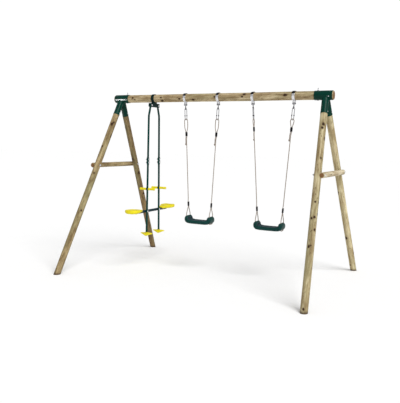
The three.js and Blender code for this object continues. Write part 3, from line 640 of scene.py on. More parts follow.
zinc = zinc_plate("zinc", (0.80, 0.80, 0.82, 1), (0.52, 0.52, 0.55, 1))
hook_zinc = zinc_plate("hook_zinc", (0.46, 0.46, 0.48, 1), (0.28, 0.28, 0.30, 1))
dark_zinc = zinc_plate("dark_zinc", (0.12, 0.12, 0.13, 1), (0.06, 0.06, 0.07, 1))
yellow = moulded_plastic("yellow_plastic", linear(228, 214, 34), linear(200, 178, 26), 0.42)
seat_green = moulded_plastic("seat_green", linear(4, 50, 46), linear(16, 72, 68), 0.38)
seat_tread = moulded_plastic("seat_tread", linear(30, 50, 56), linear(60, 78, 86), 0.6, 260, 0.0009)
black = moulded_plastic("black_plastic", linear(16, 14, 17), linear(34, 32, 36), 0.5)
rope_white = rope_fibre("rope", linear(188, 176, 164), linear(112, 99, 88))


# ---- timber poles -----------------------------------------------------------------------------

POLE_SIDES = 56
KNOT_STEP = 0.0045
PLAIN_STEP = 0.03
KNOT_REACH = 3.0                  # how many knot sizes the grain bends away over
KNOT_PROUD = 0.0009


def pole(name, start, end, radius, material, seed, knots, cracks, turn_down=None, round_edge=0.004):
    """A machine-rounded pole: knots stand a little proud, and drying cracks run along it.

    knots: (share of the length, angle in degrees, size); cracks: (share, angle, length, depth).
    turn_down: (length, radius) of a thinner first stretch.
    """
    rng = random.Random(seed)
    axis = end - start
    length = axis.length
    knot_list = [(share * length, math.radians(angle), size) for share, angle, size in knots]
    heights = pole_heights(length, knot_list, turn_down, round_edge)
    angles, crack_columns = pole_angles(cracks, radius, length)
    lean = [(rng.uniform(-1, 1), rng.uniform(0.6, 1.6), rng.uniform(0, 6)) for _ in range(3)]
    points, grain, knot_field, crack_field = [], [], [], []
    for z, shrink in heights:
        base = turn_down[1] if turn_down and z < turn_down[0] else radius
        for column, angle in enumerate(angles):
            wave = sum(a * math.sin(f * 4 * z + p + angle) for a, f, p in lean) * 0.0004
            r = base - shrink + (wave if base == radius else 0)
            drift, proud, near = knots_at(knot_list, angle, z, radius)
            groove = 0.0
            if column in crack_columns:
                middle_z, long, depth = crack_columns[column]
                share = 1 - abs(z - middle_z) / (long / 2)
                groove = depth * min(1, max(0, share) * 3)
            r += proud - groove
            points.append((r * math.cos(angle), r * math.sin(angle), z))
            warped = angle + drift
            grain.append((radius * math.cos(warped), radius * math.sin(warped), z))
            knot_field.append(near / 2)
            crack_field.append(min(1, groove / 0.001))
    count = len(angles)
    faces = ring_faces(len(heights), count)
    shape = Shape().add(points, faces)
    add_cap(shape, grain, knot_field, crack_field, heights[0][0], 0, count, True)
    add_cap(shape, grain, knot_field, crack_field, heights[-1][0], (len(heights) - 1) * count, count, False)
    place = toward(start, axis)
    piece = make(name, shape, [material, cut_end], place, angle=50)
    write_attribute(piece, "grain", "FLOAT_VECTOR", grain)
    write_attribute(piece, "knot", "FLOAT", knot_field)
    write_attribute(piece, "crack", "FLOAT", crack_field)
    # Painted shade near the ground: full at the floor, fading out about 3 cm up.
    painted_foot_shade = [clip(1.3 - (place @ v.co).z / 0.024) for v in piece.data.vertices]
    write_attribute(piece, "foot", "FLOAT", painted_foot_shade)
    return piece


def knots_at(knot_list, angle, z, radius):
    """What knots do at a point of a pole: turn of the grain, height, and distance to the nearest."""
    drift, proud, near = 0.0, 0.0, KNOT_REACH
    for place, knot_angle, size in knot_list:
        side = (angle - knot_angle + math.pi) % (2 * math.pi) - math.pi
        across, along = side * radius, z - place
        distance = math.hypot(across / size, along / (1.35 * size))
        if distance < KNOT_REACH:
            near = min(near, distance)
            push = math.exp(-distance * distance / 1.6)
            drift -= push * 0.55 * size * math.copysign(1, across) / radius
            proud = max(proud, KNOT_PROUD * math.exp(-distance * distance * 1.5))
    return drift, proud, near


def pole_heights(length, knot_list, turn_down, round_edge):
    """The heights of a pole's rings, close together at knots and ends, with how far the edge is rounded."""
    plain = [PLAIN_STEP * i for i in range(1, int(length / PLAIN_STEP))]
    for place, _, size in knot_list:
        reach = 2.2 * size
        steps = int(2 * reach / KNOT_STEP)
        plain += [place - reach + KNOT_STEP * i for i in range(steps + 1)]
    low, high = round_edge * 1.2, length - round_edge * 1.2
    heights = sorted(z for z in plain if low < z < high)
    kept = []
    for z in heights:
        if not kept or z - kept[-1] > KNOT_STEP * 0.6:
            kept.append(z)
    rows = [(z, 0.0) for z in kept]
    rows += [(length - 0.005 * i, 0.0) for i in range(2, 26)]
    for step in range(5):
        turn = math.radians(90 * step / 4)
        inward, down = round_edge * (1 - math.sin(turn)), round_edge * (1 - math.cos(turn))
        rows.append((down, inward))
        rows.append((length - down, inward))
    if turn_down:
        rows = [row for row in rows if abs(row[0] - turn_down[0]) > 0.002]
        rows += [(turn_down[0] - 1e-5, 0.0), (turn_down[0] + 1e-5, 0.002), (turn_down[0] + 0.002, 0.0)]
    return sorted(rows)


def pole_angles(cracks, radius, length):
    """The angles of a pole's columns, with three close together at each crack."""
    angles = [2 * math.pi * i / POLE_SIDES for i in range(POLE_SIDES)]
    half = 0.0011 / radius
    middles = {}
    for share, degrees, long, depth in cracks:
        angle = math.radians(degrees) % (2 * math.pi)
        angles = [a for a in angles if abs((a - angle + math.pi) % (2 * math.pi) - math.pi) > 2.2 * half]
        angles += [(angle - half) % (2 * math.pi), angle, (angle + half) % (2 * math.pi)]
        middles[angle] = (share * length, long, depth)
    angles.sort()
    return angles, {angles.index(angle): crack for angle, crack in middles.items()}


def add_cap(shape, grain, knot_field, crack_field, z, first, count, low):
    """Closes a pole's end with rings of end grain."""
    rim = [shape.points[first + i] for i in range(count)]
    start = len(shape.points)
    rings = (0.66, 0.33)
    for share in rings:
        for p in rim:
            shape.points.append(Vector((p.x * share, p.y * share, z)))
    shape.points.append(Vector((0, 0, z)))
    for p in shape.points[start:]:
        grain.append(tuple(p))
        knot_field.append(KNOT_REACH / 2)
        crack_field.append(0.0)
    rows = [first, *(start + i * count for i in range(len(rings)))]
    centre = len(shape.points) - 1
    faces = []
    for a, b in zip(rows, rows[1:]):
        faces += [[a + i, a + (i + 1) % count, b + (i + 1) % count, b + i] for i in range(count)]
    faces += [[rows[-1] + i, rows[-1] + (i + 1) % count, centre] for i in range(count)]
    shape.faces += [face[::-1] for face in faces] if low else faces
    shape.paints += [1] * len(faces)


def write_attribute(piece, name, kind, values):
    attribute = piece.data.attributes.new(name, kind, "POINT")
    flat = [x for value in values for x in value] if kind == "FLOAT_VECTOR" else values
    attribute.data.foreach_set("vector" if kind == "FLOAT_VECTOR" else "value", flat)


def random_knots(seed, count, low=0.06, high=0.96):
    """Knots spread along a pole, a few of them large."""
    rng = random.Random(seed)
    knots = []
    for i in range(count):
        share = low + (high - low) * (i + rng.uniform(0.15, 0.85)) / count
        knots.append((share, rng.uniform(0, 360), rng.choice((0.006, 0.008, 0.010, 0.013))))
    return knots


def random_cracks(seed, count, depth=0.0016):
    rng = random.Random(seed)
    return [
        (rng.uniform(0.15, 0.85), (i + rng.uniform(0.2, 0.8)) * 360 / count, rng.uniform(0.25, 0.8), depth)
        for i in range(count)
    ]


def leg_point(side_x, side_y, distance):
    """A point on a leg's axis, at a distance from the beam's axis."""
    top = Vector((side_x * LEG_TOP_X, 0, BEAM.z))
    foot = Vector((side_x * LEG_FOOT.x, side_y * LEG_FOOT.y, 0))
    return top + (foot - top).normalized() * distance


def leg(place, side_x, side_y, material, seed):
    """A leg: its spigot stands in the socket, and its foot is cut level with the ground."""
    start = leg_point(side_x, side_y, SPIGOT_START)
    foot = Vector((side_x * LEG_FOOT.x, side_y * LEG_FOOT.y, 0))
    over = foot + (foot - start).normalized() * LEG_SPARE
    spigot = (SOCKET_END + GAP - SPIGOT_START, SPIGOT_RADIUS)
    knots = random_knots(seed, 14, 0.10, 0.95) + (FRONT_KNOTS[side_x] if side_y < 0 else [])
    piece = pole(f"leg_{place}", start, over, LEG_RADIUS, material, seed, knots,
                 random_cracks(seed + 1, 5), turn_down=spigot)
    level_foot(piece)
    place_on(piece, "root", "timber", f"leg_{place}")


def level_foot(piece):
    """Cuts a leg level with the ground and closes the cut with end grain."""
    mesh = bmesh.new()
    mesh.from_mesh(piece.data)
    back = piece.matrix_world.inverted()
    plane_co = back @ Vector((0, 0, 0))
    plane_no = (back.to_3x3() @ UP).normalized()
    geometry = list(mesh.verts) + list(mesh.edges) + list(mesh.faces)
    cut = bmesh.ops.bisect_plane(mesh, geom=geometry, plane_co=plane_co, plane_no=-plane_no,
                                 clear_outer=True)
    edges = [e for e in cut["geom_cut"] if isinstance(e, bmesh.types.BMEdge)]
    cap = bmesh.ops.contextual_create(mesh, geom=edges)["faces"]
    for face in cap:
        face.material_index = 1
        face.smooth = False
    bmesh.ops.recalc_face_normals(mesh, faces=list(mesh.faces))
    mesh.to_mesh(piece.data)
    mesh.free()
    piece.data.set_sharp_from_angle(angle=math.radians(50))


# (share of the length from the left end, angle from the back over the top, size)
BEAM_KNOTS = [
    (0.100, 170, 0.009), (0.112, 195, 0.006), (0.247, 172, 0.009), (0.252, 222, 0.012), (0.339, 196, 0.009),
    (0.405, 215, 0.011), (0.630, 180, 0.009), (0.845, 172, 0.010),
]
# for each front leg: (share of the length from the top, angle from the back towards +X, size)
FRONT_KNOTS = {
    -1: [(0.128, 157, 0.013), (0.115, 132, 0.008), (0.42, 150, 0.007), (0.63, 130, 0.008)],
    1: [(0.143, 165, 0.010), (0.292, 140, 0.009), (0.568, 147, 0.010), (0.575, 190, 0.008),
        (0.500, 160, 0.007), (0.700, 187, 0.010), (0.695, 160, 0.006), (0.962, 175, 0.009)],
}


def make_timber():
    """The beam, four legs and two crossbars."""
    ends = [Vector((side * BEAM_HALF, 0, BEAM.z)) for side in (-1, 1)]
    beam = pole("top_beam", *ends, BEAM_RADIUS, beam_timber, 5, BEAM_KNOTS + random_knots(8, 9),
                random_cracks(9, 5))
    place_on(beam, "root", "timber", "top_beam")
    leg("front_left", -1, -1, olive_timber, 21)
    leg("back_left", -1, 1, brown_timber, 33)
    # The right legs take two brightnesses of one timber: painted shade in front, painted light at the back.
    leg("front_right", 1, -1, front_right_darkened_timber, 47)
    leg("back_right", 1, 1, back_right_lightened_timber, 59)
    for hand, side in SIDES.items():
        crossbar(hand, side)


def crossbar(hand, side):
    """A crossbar, hollowed where it lies on the legs."""
    node = f"crossbar_{hand}"
    low, high = corners(node)
    cross = cross_leg(side, -1)
    x = cross.x + side * CROSSBAR_OFFSET
    start, end = Vector((x, low.y, cross.z)), Vector((x, high.y, cross.z))
    material = olive_timber if side < 0 else cream_timber
    piece = pole(node, start, end, CROSSBAR_RADIUS, material, 70 + side, random_knots(80 + side, 6),
                 random_cracks(90 + side, 3), round_edge=0.006)
    cutters = []
    for depth in (-1, 1):
        above, below = leg_point(side, depth, 0.6), leg_point(side, depth, 1.3)
        outline = turned([(0, 0), (LEG_RADIUS + 0.0006, 0), (LEG_RADIUS + 0.0006, 0.7), (0, 0.7)], 48)
        cutters.append(make("cutter", outline, [], toward(above, below - above)))
    combine(piece, cutters, "DIFFERENCE", angle=50)
    place_on(piece, "root", "timber", node)


def cross_leg(side, depth):
    """Where a crossbar's bolt goes through a leg's axis."""
    height = middle(f"crossbar_{'left' if side < 0 else 'right'}").z
    share = 1 - height / BEAM.z
    x = side * (LEG_TOP_X + (LEG_FOOT.x - LEG_TOP_X) * share)
    return Vector((x, depth * LEG_FOOT.y * share, height))


# ---- bolts ------------------------------------------------------------------------------------

def bolt(name, body, nodes, head, direction, grip, tail, head_radius=0.011, radius=0.005):
    """A domed bolt with washers, a hexagonal nut and the threaded end of its shank."""
    place = toward(head, direction)
    shape = turned([
        (0, -0.006), (0.35 * head_radius, -0.0058), (0.65 * head_radius, -0.0048),
        (0.88 * head_radius, -0.0030), (head_radius, -0.0010), (head_radius, -0.0004),
        (0.9 * head_radius, 0), (radius, 0), (radius, 0.001), (0, 0.001),
    ], 28)
    washer = 1.15 * head_radius
    under, over = grip - 0.0004, grip + 0.0014
    turned([(radius, under), (washer, under), (washer, over), (radius, over)], 28, shape=shape)
    nut_shell(shape, over, radius, 0.0085)
    thread = [(0, grip - 0.002), (radius, grip - 0.002)]
    z, end = grip + 0.0085, grip + 0.009 + tail
    while z < end - 0.0012:
        thread += [(radius, z), (radius * 0.86, z + 0.0005)]
        z += 0.00125
    thread += [(radius * 0.86, end - 0.0004), (radius * 0.72, end), (0, end)]
    turned(thread, 20, shape=shape)
    piece = make(name, shape, [zinc], place)
    place_on(piece, body, "zinc", *nodes)


def nut_shell(shape, start, bore, radius, tall=0.0085):
    """A hexagonal nut with chamfered corners."""
    profile = [(bore, start), (radius * 0.87, start), (radius, start + 0.0012),
               (radius, start + tall - 0.0012), (radius * 0.87, start + tall), (bore, start + tall)]
    points = []
    for r, z in profile:
        for i in range(36):
            angle = 2 * math.pi * i / 36
            flat = 0.9 * radius / math.cos((angle % (math.pi / 3)) - math.pi / 6)
            points.append((min(r, flat) * math.cos(angle), min(r, flat) * math.sin(angle), z))
    shape.add(points, ring_faces(len(profile), 36, closed=True))


def make_frame_bolts():
    """The bolts of the corner brackets and the crossbars."""
    for hand, side in SIDES.items():
        low, high = corners(f"bracket_bolt_{hand}")
        centre = (low + high) / 2
        under = Vector((centre.x, 0, BEAM.z - SLEEVE_RADIUS - GAP))
        grip = 2 * (BEAM.z - under.z)
        bolt(f"bracket_bolt_{hand}", "root", [f"bracket_bolt_{hand}"], under, UP, grip,
             high.z - under.z - grip - 0.009)
        for end, depth in (("front", -1), ("back", 1)):
            node = f"crossbar_bolt_{end}_{hand}"
            cross = cross_leg(side, depth)
            outside = abs(cross.x) + CROSSBAR_OFFSET + CROSSBAR_RADIUS + GAP
            head = Vector((side * outside, cross.y, cross.z))
            reach = outside - abs(cross.x) + LEG_RADIUS + 0.003
            bolt(node, "root", [node], head, (-side, 0, 0), reach, 0.005)


# ---- corner brackets --------------------------------------------------------------------------

def rolled_tube(inner, outer, length, lip):
    """A tube's wall profile with rounded rims, that closes on itself."""
    mid = (inner + outer) / 2
    return [
        (inner, lip), (inner + 0.0004, lip / 3), (mid, 0), (outer - 0.0004, lip / 3), (outer, lip),
        (outer, length - lip), (outer - 0.0004, length - lip / 3), (mid, length),
        (inner + 0.0004, length - lip / 3), (inner, length - lip),
    ]


def solid_rod(name, start, end, radius, sides=64):
    length = (end - start).length
    return make(name, turned([(0, 0), (radius, 0), (radius, length), (0, length)], sides), [],
                toward(start, end - start))


def corner_bracket(hand, side):
    """A green steel corner: a sleeve round the beam, two welded sockets, a web, beads and screws."""
    node = f"corner_bracket_{hand}"
    low, high = corners(node)
    inner_x, outer_x = (high.x, low.x) if side < 0 else (low.x, high.x)
    start, end = Vector((inner_x, 0, BEAM.z)), Vector((outer_x, 0, BEAM.z))
    length = (end - start).length
    rim = 0.0012
    sleeve_profile = [(0, 0), (SLEEVE_RADIUS - rim, 0), (SLEEVE_RADIUS - 0.3 * rim, 0.3 * rim),
                      (SLEEVE_RADIUS, rim), (SLEEVE_RADIUS, length - rim),
                      (SLEEVE_RADIUS - 0.3 * rim, length - 0.3 * rim),
                      (SLEEVE_RADIUS - rim, length), (0, length)]
    piece = make(f"{node}_steel", turned(sleeve_profile, 72), [bracket_paint], toward(start, end - start))
    piece_world(piece)
    joined, bores = [], []
    for depth in (-1, 1):
        top, mouth = leg_point(side, depth, 0.0), leg_point(side, depth, SOCKET_END)
        reach = (mouth - top).length
        profile = [(0, 0.01), (SOCKET_RADIUS, 0.01), (SOCKET_RADIUS, reach - 0.010),
                   (SOCKET_RADIUS + 0.0016, reach - 0.008), (SOCKET_RADIUS + 0.0016, reach - 0.0015),
                   (SOCKET_RADIUS + 0.0008, reach), (0, reach)]
        joined.append(make("socket", turned(profile, 56), [], toward(top, mouth - top)))
        bores.append(solid_rod("bore", leg_point(side, depth, SLEEVE_RADIUS), leg_point(side, depth, 0.3),
                               SPIGOT_RADIUS + 0.0008, 56))
    mouth = leg_point(side, 1, SOCKET_END)
    slope = mouth.y / (BEAM.z - mouth.z)
    web_bottom = BEAM.z - WEB_DEPTH
    web_x = leg_point(side, 1, 0.163).x
    web = web_plate(web_x, BEAM.z, web_bottom, slope)
    joined.append(make("web", web, []))
    bores.append(solid_rod("bore", start - (end - start) * 0.2, end + (end - start) * 0.2,
                           BEAM_BORE, 72))
    combine(piece, joined, "UNION")
    combine(piece, bores, "DIFFERENCE", angle=30)
    place_on(piece, "root", "green_steel", node)
    weld_beads(hand, side)
    bracket_screws(hand, side)


def piece_world(piece):
    """Puts a piece's placement into its mesh, so that its object sits at the origin."""
    piece.data.transform(piece.matrix_world)
    piece.matrix_world = Matrix.Identity(4)


def web_plate(x, top, bottom, slope):
    """The plate between the sockets: a triangle with a curved lower edge."""
    half = slope * (top - bottom)
    outline = [(0, top)]
    for i in range(13):
        t = i / 12
        y = -half + 2 * half * t
        outline.append((y, bottom + 0.030 * (1 - (2 * t - 1) ** 2)))
    return plate(outline, x - WEB_HALF, x + WEB_HALF)


def weld_beads(hand, side):
    """The welds between the sleeve and the sockets: small uneven beads along the joint."""
    rng = random.Random(200 + side)
    shape = Shape()
    for depth in (-1, 1):
        top = leg_point(side, depth, 0)
        along = (leg_point(side, depth, 1) - top).normalized()
        a = Vector((1, 0, 0))
        a = (a - along * a.dot(along)).normalized()
        b = along.cross(a)
        path = []
        for i in range(96):
            angle = 2 * math.pi * i / 96
            out = (a * math.cos(angle) + b * math.sin(angle)) * SOCKET_RADIUS
            path.append(top + out + along * reach_sleeve(out, along))
        sizes = [0.0026 + rng.uniform(-0.0004, 0.0004) for _ in path]
        swept(path, lambda i: round_section(sizes[i], 8)(i), shape, closed=True)
    piece = make(f"weld_beads_{hand}", shape, [bracket_paint], angle=80)
    place_on(piece, "root", "green_steel")


def reach_sleeve(out, along):
    """How far along a socket a line on its surface meets the sleeve."""
    a = along.y ** 2 + along.z ** 2
    b = out.y * along.y + out.z * along.z
    c = out.y ** 2 + out.z ** 2 - SLEEVE_RADIUS ** 2
    return (-b + math.sqrt(b * b - a * c)) / a


def bracket_screws(hand, side):
    """Pan-head screws that hold the beam in the sleeve and each leg in its socket."""
    shape = Shape()
    screw = [(0, 0.0032), (0.003, 0.0030), (0.0055, 0.0018), (0.006, 0.0004), (0.006, -0.002), (0, -0.002)]
    sleeve_x = side * BRACKET_SCREW_X
    spots = []
    for angle in (-14, 194):
        out = Vector((0, -math.cos(math.radians(angle)), math.sin(math.radians(angle))))
        spots.append((Vector((sleeve_x, 0, BEAM.z)) + out * SLEEVE_RADIUS, out))
    for depth in (-1, 1):
        on_axis = leg_point(side, depth, SOCKET_END - 0.03)
        for direction in (-1, 1):
            out = Vector((direction, 0, 0))
            along = (leg_point(side, depth, 1) - leg_point(side, depth, 0)).normalized()
            out = (out - along * out.dot(along)).normalized()
            spots.append((on_axis + out * SOCKET_RADIUS, out))
    for spot, out in spots:
        turned(screw, 20, toward(spot, out), shape)
        wire([spot + out * 0.0031 + along_slot * 0.0038 for along_slot in (UP * -1, UP)], 0.0006, 6, shape)
    piece = make(f"bracket_screws_{hand}", shape, [zinc])
    place_on(piece, "root", "zinc")


# ---- glider -----------------------------------------------------------------------------------

def arm_y(z):
    """Half the distance between the glider's arms at a height below their bend."""
    return BEND_Y + (ARM_FOOT_Y - BEND_Y) * (BEND_Z - z) / (BEND_Z - ARM_FOOT_Z)


def on_arm(depth, z):
    return Vector((GLIDER_X, depth * arm_y(z), z))


def glider_clamp():
    """The strap round the beam, its saddle block and the channel that holds both pivots."""
    low, high = corners("glider_beam_clamp")
    half = (high.x - low.x) / 2
    channel_bottom, channel_top = low.z, low.z + 0.046
    strap = turned(rolled_tube(BEAM_BORE, BEAM_RADIUS + 0.0048, 2 * half, 0.0012), 64)
    piece = make("glider_beam_clamp", strap, [clamp_paint], toward(Vector((low.x, 0, BEAM.z)), ALONG))
    piece_world(piece)
    x0, x1 = low.x + 0.0004, high.x - 0.0004
    saddle = make("saddle", block((x0, -0.036, channel_top - 0.002), (x1, 0.036, BEAM.z - 0.02), 0.003), [])
    channel = make("channel", block((low.x, low.y, channel_bottom),
                                    (high.x, high.y, channel_top), 0.004), [])
    combine(piece, [saddle, channel], "UNION")
    hollow = make("hollow", block((low.x + 0.003, low.y - 0.01, channel_bottom - 0.01),
                                  (high.x - 0.003, high.y + 0.01, channel_top - 0.003), 0.002), [])
    beam_hole = solid_rod("bore", Vector((low.x - 0.02, 0, BEAM.z)), Vector((high.x + 0.02, 0, BEAM.z)),
                          BEAM_BORE)
    combine(piece, [hollow, beam_hole], "DIFFERENCE", angle=30)
    place_on(piece, "root", "green_steel", "glider_beam_clamp")


def glider_arm(end, depth):
    """One arm: a bent upper tube with an eye, and a lower tube swaged over it."""
    body = f"glider_{end}_arm"
    pivot = Vector((GLIDER_X, depth * TOP_PIVOT.y, TOP_PIVOT.z))
    route = [
        pivot, Vector((GLIDER_X, depth * 0.088, TOP_PIVOT.z - 0.024)),
        Vector((GLIDER_X, depth * (BEND_Y - 0.012), BEND_Z + 0.032)),
        Vector((GLIDER_X, depth * (BEND_Y - 0.003), BEND_Z + 0.006)),
        on_arm(depth, BEND_Z - 0.028), on_arm(depth, BEND_Z - 0.060), on_arm(depth, 1.6),
        on_arm(depth, JOINT_BOTTOM_Z),
    ]
    upper = make(f"glider_upper_tube_{end}", wire(smooth_path(route, 8), TUBE_RADIUS, 28), [tube_paint])
    eye_profile = rolled_tube(0.0056, 0.015, 0.030, 0.0015)
    eye = make("eye", turned(eye_profile, 32), [], toward(pivot - ALONG * 0.015, ALONG))
    combine(upper, [eye], "UNION")
    hole = solid_rod("bore", pivot - ALONG * 0.03, pivot + ALONG * 0.03, 0.0056, 24)
    combine(upper, [hole], "DIFFERENCE")
    place_on(upper, body, "tube_steel", f"glider_upper_tube_{end}")

    top, foot = on_arm(depth, JOINT_TOP_Z), on_arm(depth, ARM_FOOT_Z)
    length, flare = (foot - top).length, JOINT_TOP_Z - JOINT_BOTTOM_Z
    profile = [
        (TUBE_RADIUS + 0.0004, 0.0008), (FLARE_RADIUS - 0.001, 0), (FLARE_RADIUS + 0.0008, 0.001),
        (FLARE_RADIUS + 0.0008, 0.006), (FLARE_RADIUS, 0.008), (FLARE_RADIUS, flare - 0.004),
        (FLARE_RADIUS - 0.001, flare + 0.001), (TUBE_RADIUS + 0.0006, flare + 0.008),
        (TUBE_RADIUS, flare + 0.012), (TUBE_RADIUS, length / 2), (TUBE_RADIUS, length - 0.002),
        (TUBE_RADIUS - 0.001, length), (TUBE_BORE, length), (TUBE_BORE, length - 0.02),
        (TUBE_BORE, flare + 0.01), (TUBE_RADIUS + 0.0004, flare),
    ]
    lower = make(f"glider_lower_tube_{end}", turned(profile, 28), [tube_paint], toward(top, foot - top))
    place_on(lower, body, "tube_steel", f"glider_lower_tube_{end}")
    glider_bolts(end, depth, body)
    handle(end, depth, body)
    footrest(end, depth, body)


def glider_bolts(end, depth, body):
    """The top pivot, two bolts through the arm's joint and the seat bar's pivot."""
    pivot = f"glider_top_pivot_{end}"
    outside = corners("glider_beam_clamp")[1].x + 0.0004
    bolt(pivot, "root", [pivot], Vector((outside, depth * TOP_PIVOT.y, TOP_PIVOT.z)), -ALONG,
         2 * (outside - GLIDER_X), 0.005)
    reach = FLARE_RADIUS + 0.0008
    for name, z, node in ((f"glider_joint_bolt_{end}", JOINT_BOLTS_Z[0], [f"glider_joint_bolt_{end}"]),
                          (f"glider_joint_bolt_lower_{end}", JOINT_BOLTS_Z[1], [])):
        bolt(name, body, node, on_arm(depth, z) + ALONG * reach, -ALONG, 2 * reach, 0.003)
    node = f"glider_seat_pivot_{end}"
    head = on_arm(depth, SEAT_BAR.z) + ALONG * (TUBE_RADIUS + 0.0004)
    bolt(node, body, [node], head, -ALONG, head.x - corners("glider_seat_bar")[0].x + 0.0004, 0.005)
    gap = GLIDER_X - TUBE_RADIUS - 0.0004 - corners("glider_seat_bar")[1].x
    start = on_arm(depth, SEAT_BAR.z) - ALONG * (TUBE_RADIUS + 0.0003)
    ring = turned(rolled_tube(0.0052, 0.0105, max(gap, 0.001), 0.0003), 24)
    spacer = make(f"glider_seat_spacer_{end}", ring, [black], toward(start, -ALONG))
    place_on(spacer, body, "black_plastic")


def handle(end, depth, body):
    """The handlebar through the arm and its two ribbed grips."""
    node = f"glider_handlebar_{end}"
    low, high = corners(node)
    centre = on_arm(depth, HANDLE_Z)
    half = (high.x - low.x) / 2
    bar = turned([(0, 0), (0.0072, 0), (0.008, 0.001), (0.008, half), (0.008, 2 * half - 0.001),
                  (0.0072, 2 * half), (0, 2 * half)], 28)
    piece = make(node, bar, [tube_paint], toward(centre - ALONG * half, ALONG))
    place_on(piece, body, "tube_steel", node)
    for hand, side in SIDES.items():
        grip_node = f"glider_grip_{end}_{hand}"
        place = toward(centre + ALONG * side * GRIP_START, ALONG * side)
        piece = make(grip_node, grip_shape(), [yellow], place)
        place_on(piece, body, "yellow_plastic", grip_node)


def grip_shape():
    """A soft grip: a collar, ribs for the fingers and a rounded end with a bead."""
    length = corners("glider_grip_front_right")[1].x - GLIDER_X - GRIP_START
    profile = [(0.0084, 0.0006), (0.0084, 0), (0.0150, 0), (0.0160, 0.001), (0.0160, 0.006),
               (0.0150, 0.0075)]
    z = 0.011
    while z < length - 0.018:
        profile += [(0.0136, z), (0.0148, z + 0.0022), (0.0148, z + 0.0048), (0.0136, z + 0.007)]
        z += 0.0085
    profile += [(0.0140, length - 0.011), (0.0158, length - 0.009), (0.0160, length - 0.006),
                (0.0150, length - 0.003), (0.0110, length - 0.0008), (0.0050, length), (0, length)]
    inside = [(0, length - 0.0075), (0.0084, length - 0.0075)]
    return turned(inside + profile, 32)


def footrest(end, depth, body):
    """A moulded footrest: a pad for each foot with a raised rim and treads, deep round the arm's end."""
    node = f"glider_footrest_{end}"
    low, high = corners(node)
    centre = Vector(((low.x + high.x) / 2, (low.y + high.y) / 2, high.z))
    half_x, half_y, deep = (high.x - low.x) / 2, (high.y - low.y) / 2, high.z - low.z
    rows, around = 72, 32
    points = []
    for row in range(rows + 1):
        u = -math.cos(math.pi * row / rows)
        wide = half_y * (0.16 + 0.84 * (1 - abs(u) ** 1.7))
        wide *= max(0.0, 1 - abs(u) ** 14) ** 0.5 + 0.001
        under = 0.011 + (deep - 0.011) * max(0.0, 1 - abs(u) * 1.18) ** 1.25
        under *= max(0.0, 1 - abs(u) ** 14) ** 0.5 + 0.001
        tread = 0.0011 * max(0.0, math.cos(abs(u) * half_x / 0.0085 * math.pi)) * (0.2 < abs(u) < 0.88)
        for i in range(around):
            angle = 2 * math.pi * i / around
            c, s = math.cos(angle), math.sin(angle)
            y = wide * squared(c, 0.7)
            if s >= 0:
                rim = abs(c) ** 3 * 0.0036
                z = -0.0036 + rim + tread * (1 - abs(c) ** 4) - 0.0012 * (abs(c) > 0.98)
            else:
                z = -0.0036 - under * (1 - 0.0036 / deep) * abs(s) ** 0.75
            points.append((u * half_x, y, z))
    shape = capped(points, rows + 1, around)
    piece = make(node, shape, [yellow], Matrix.Translation(centre), angle=50)
    piece_world(piece)
    arm_hole = solid_rod("bore", on_arm(depth, ARM_FOOT_Z - 0.0004), on_arm(depth, FOOTREST_TOP + 0.05),
                         TUBE_RADIUS + 0.0004, 28)
    combine(piece, [arm_hole], "DIFFERENCE", angle=50)
    place_on(piece, body, "yellow_plastic", node)
    collar_at = on_arm(depth, FOOTREST_TOP - 0.0015)
    collar = make(f"glider_footrest_collar_{end}", turned(rolled_tube(0.0129, 0.0185, 0.010, 0.0015), 32),
                  [yellow], toward(collar_at, on_arm(depth, 0.8) - collar_at))
    place_on(collar, body, "yellow_plastic")


def seat_bar():
    """The rectangular tube that carries both seats, with rounded corners and end plugs."""
    low, high = corners("glider_seat_bar")
    piece = make("glider_seat_bar", block(low, high, 0.003), [bar_paint])
    hollow = make("hollow", block((low.x + 0.002, low.y - 0.01, low.z + 0.002),
                                  (high.x - 0.002, high.y + 0.01, high.z - 0.002), 0.0012), [])
    combine(piece, [hollow], "DIFFERENCE", angle=30)
    half = 0.0054
    for depth, travel in ((-1, 0.0), (1, SLOT_TRAVEL)):
        y = depth * arm_y(SEAT_BAR.z)
        slot = make("slot", block((low.x - 0.01, y - travel - half, SEAT_BAR.z - half),
                                  (high.x + 0.01, y + half, SEAT_BAR.z + half), 0.0048), [])
        combine(piece, [slot], "DIFFERENCE", angle=30)
    place_on(piece, "glider_seat_bar", "tube_steel", "glider_seat_bar")
    plugs = Shape()
    for y0, y1 in ((low.y - 0.0035, low.y + 0.012), (high.y - 0.012, high.y + 0.0035)):
        block((low.x + 0.0026, y0, low.z + 0.0026), (high.x - 0.0026, y1, high.z - 0.0026), 0.0015, plugs)
    plug = make("glider_seat_bar_plugs", plugs, [black])
    place_on(plug, "glider_seat_bar", "black_plastic")


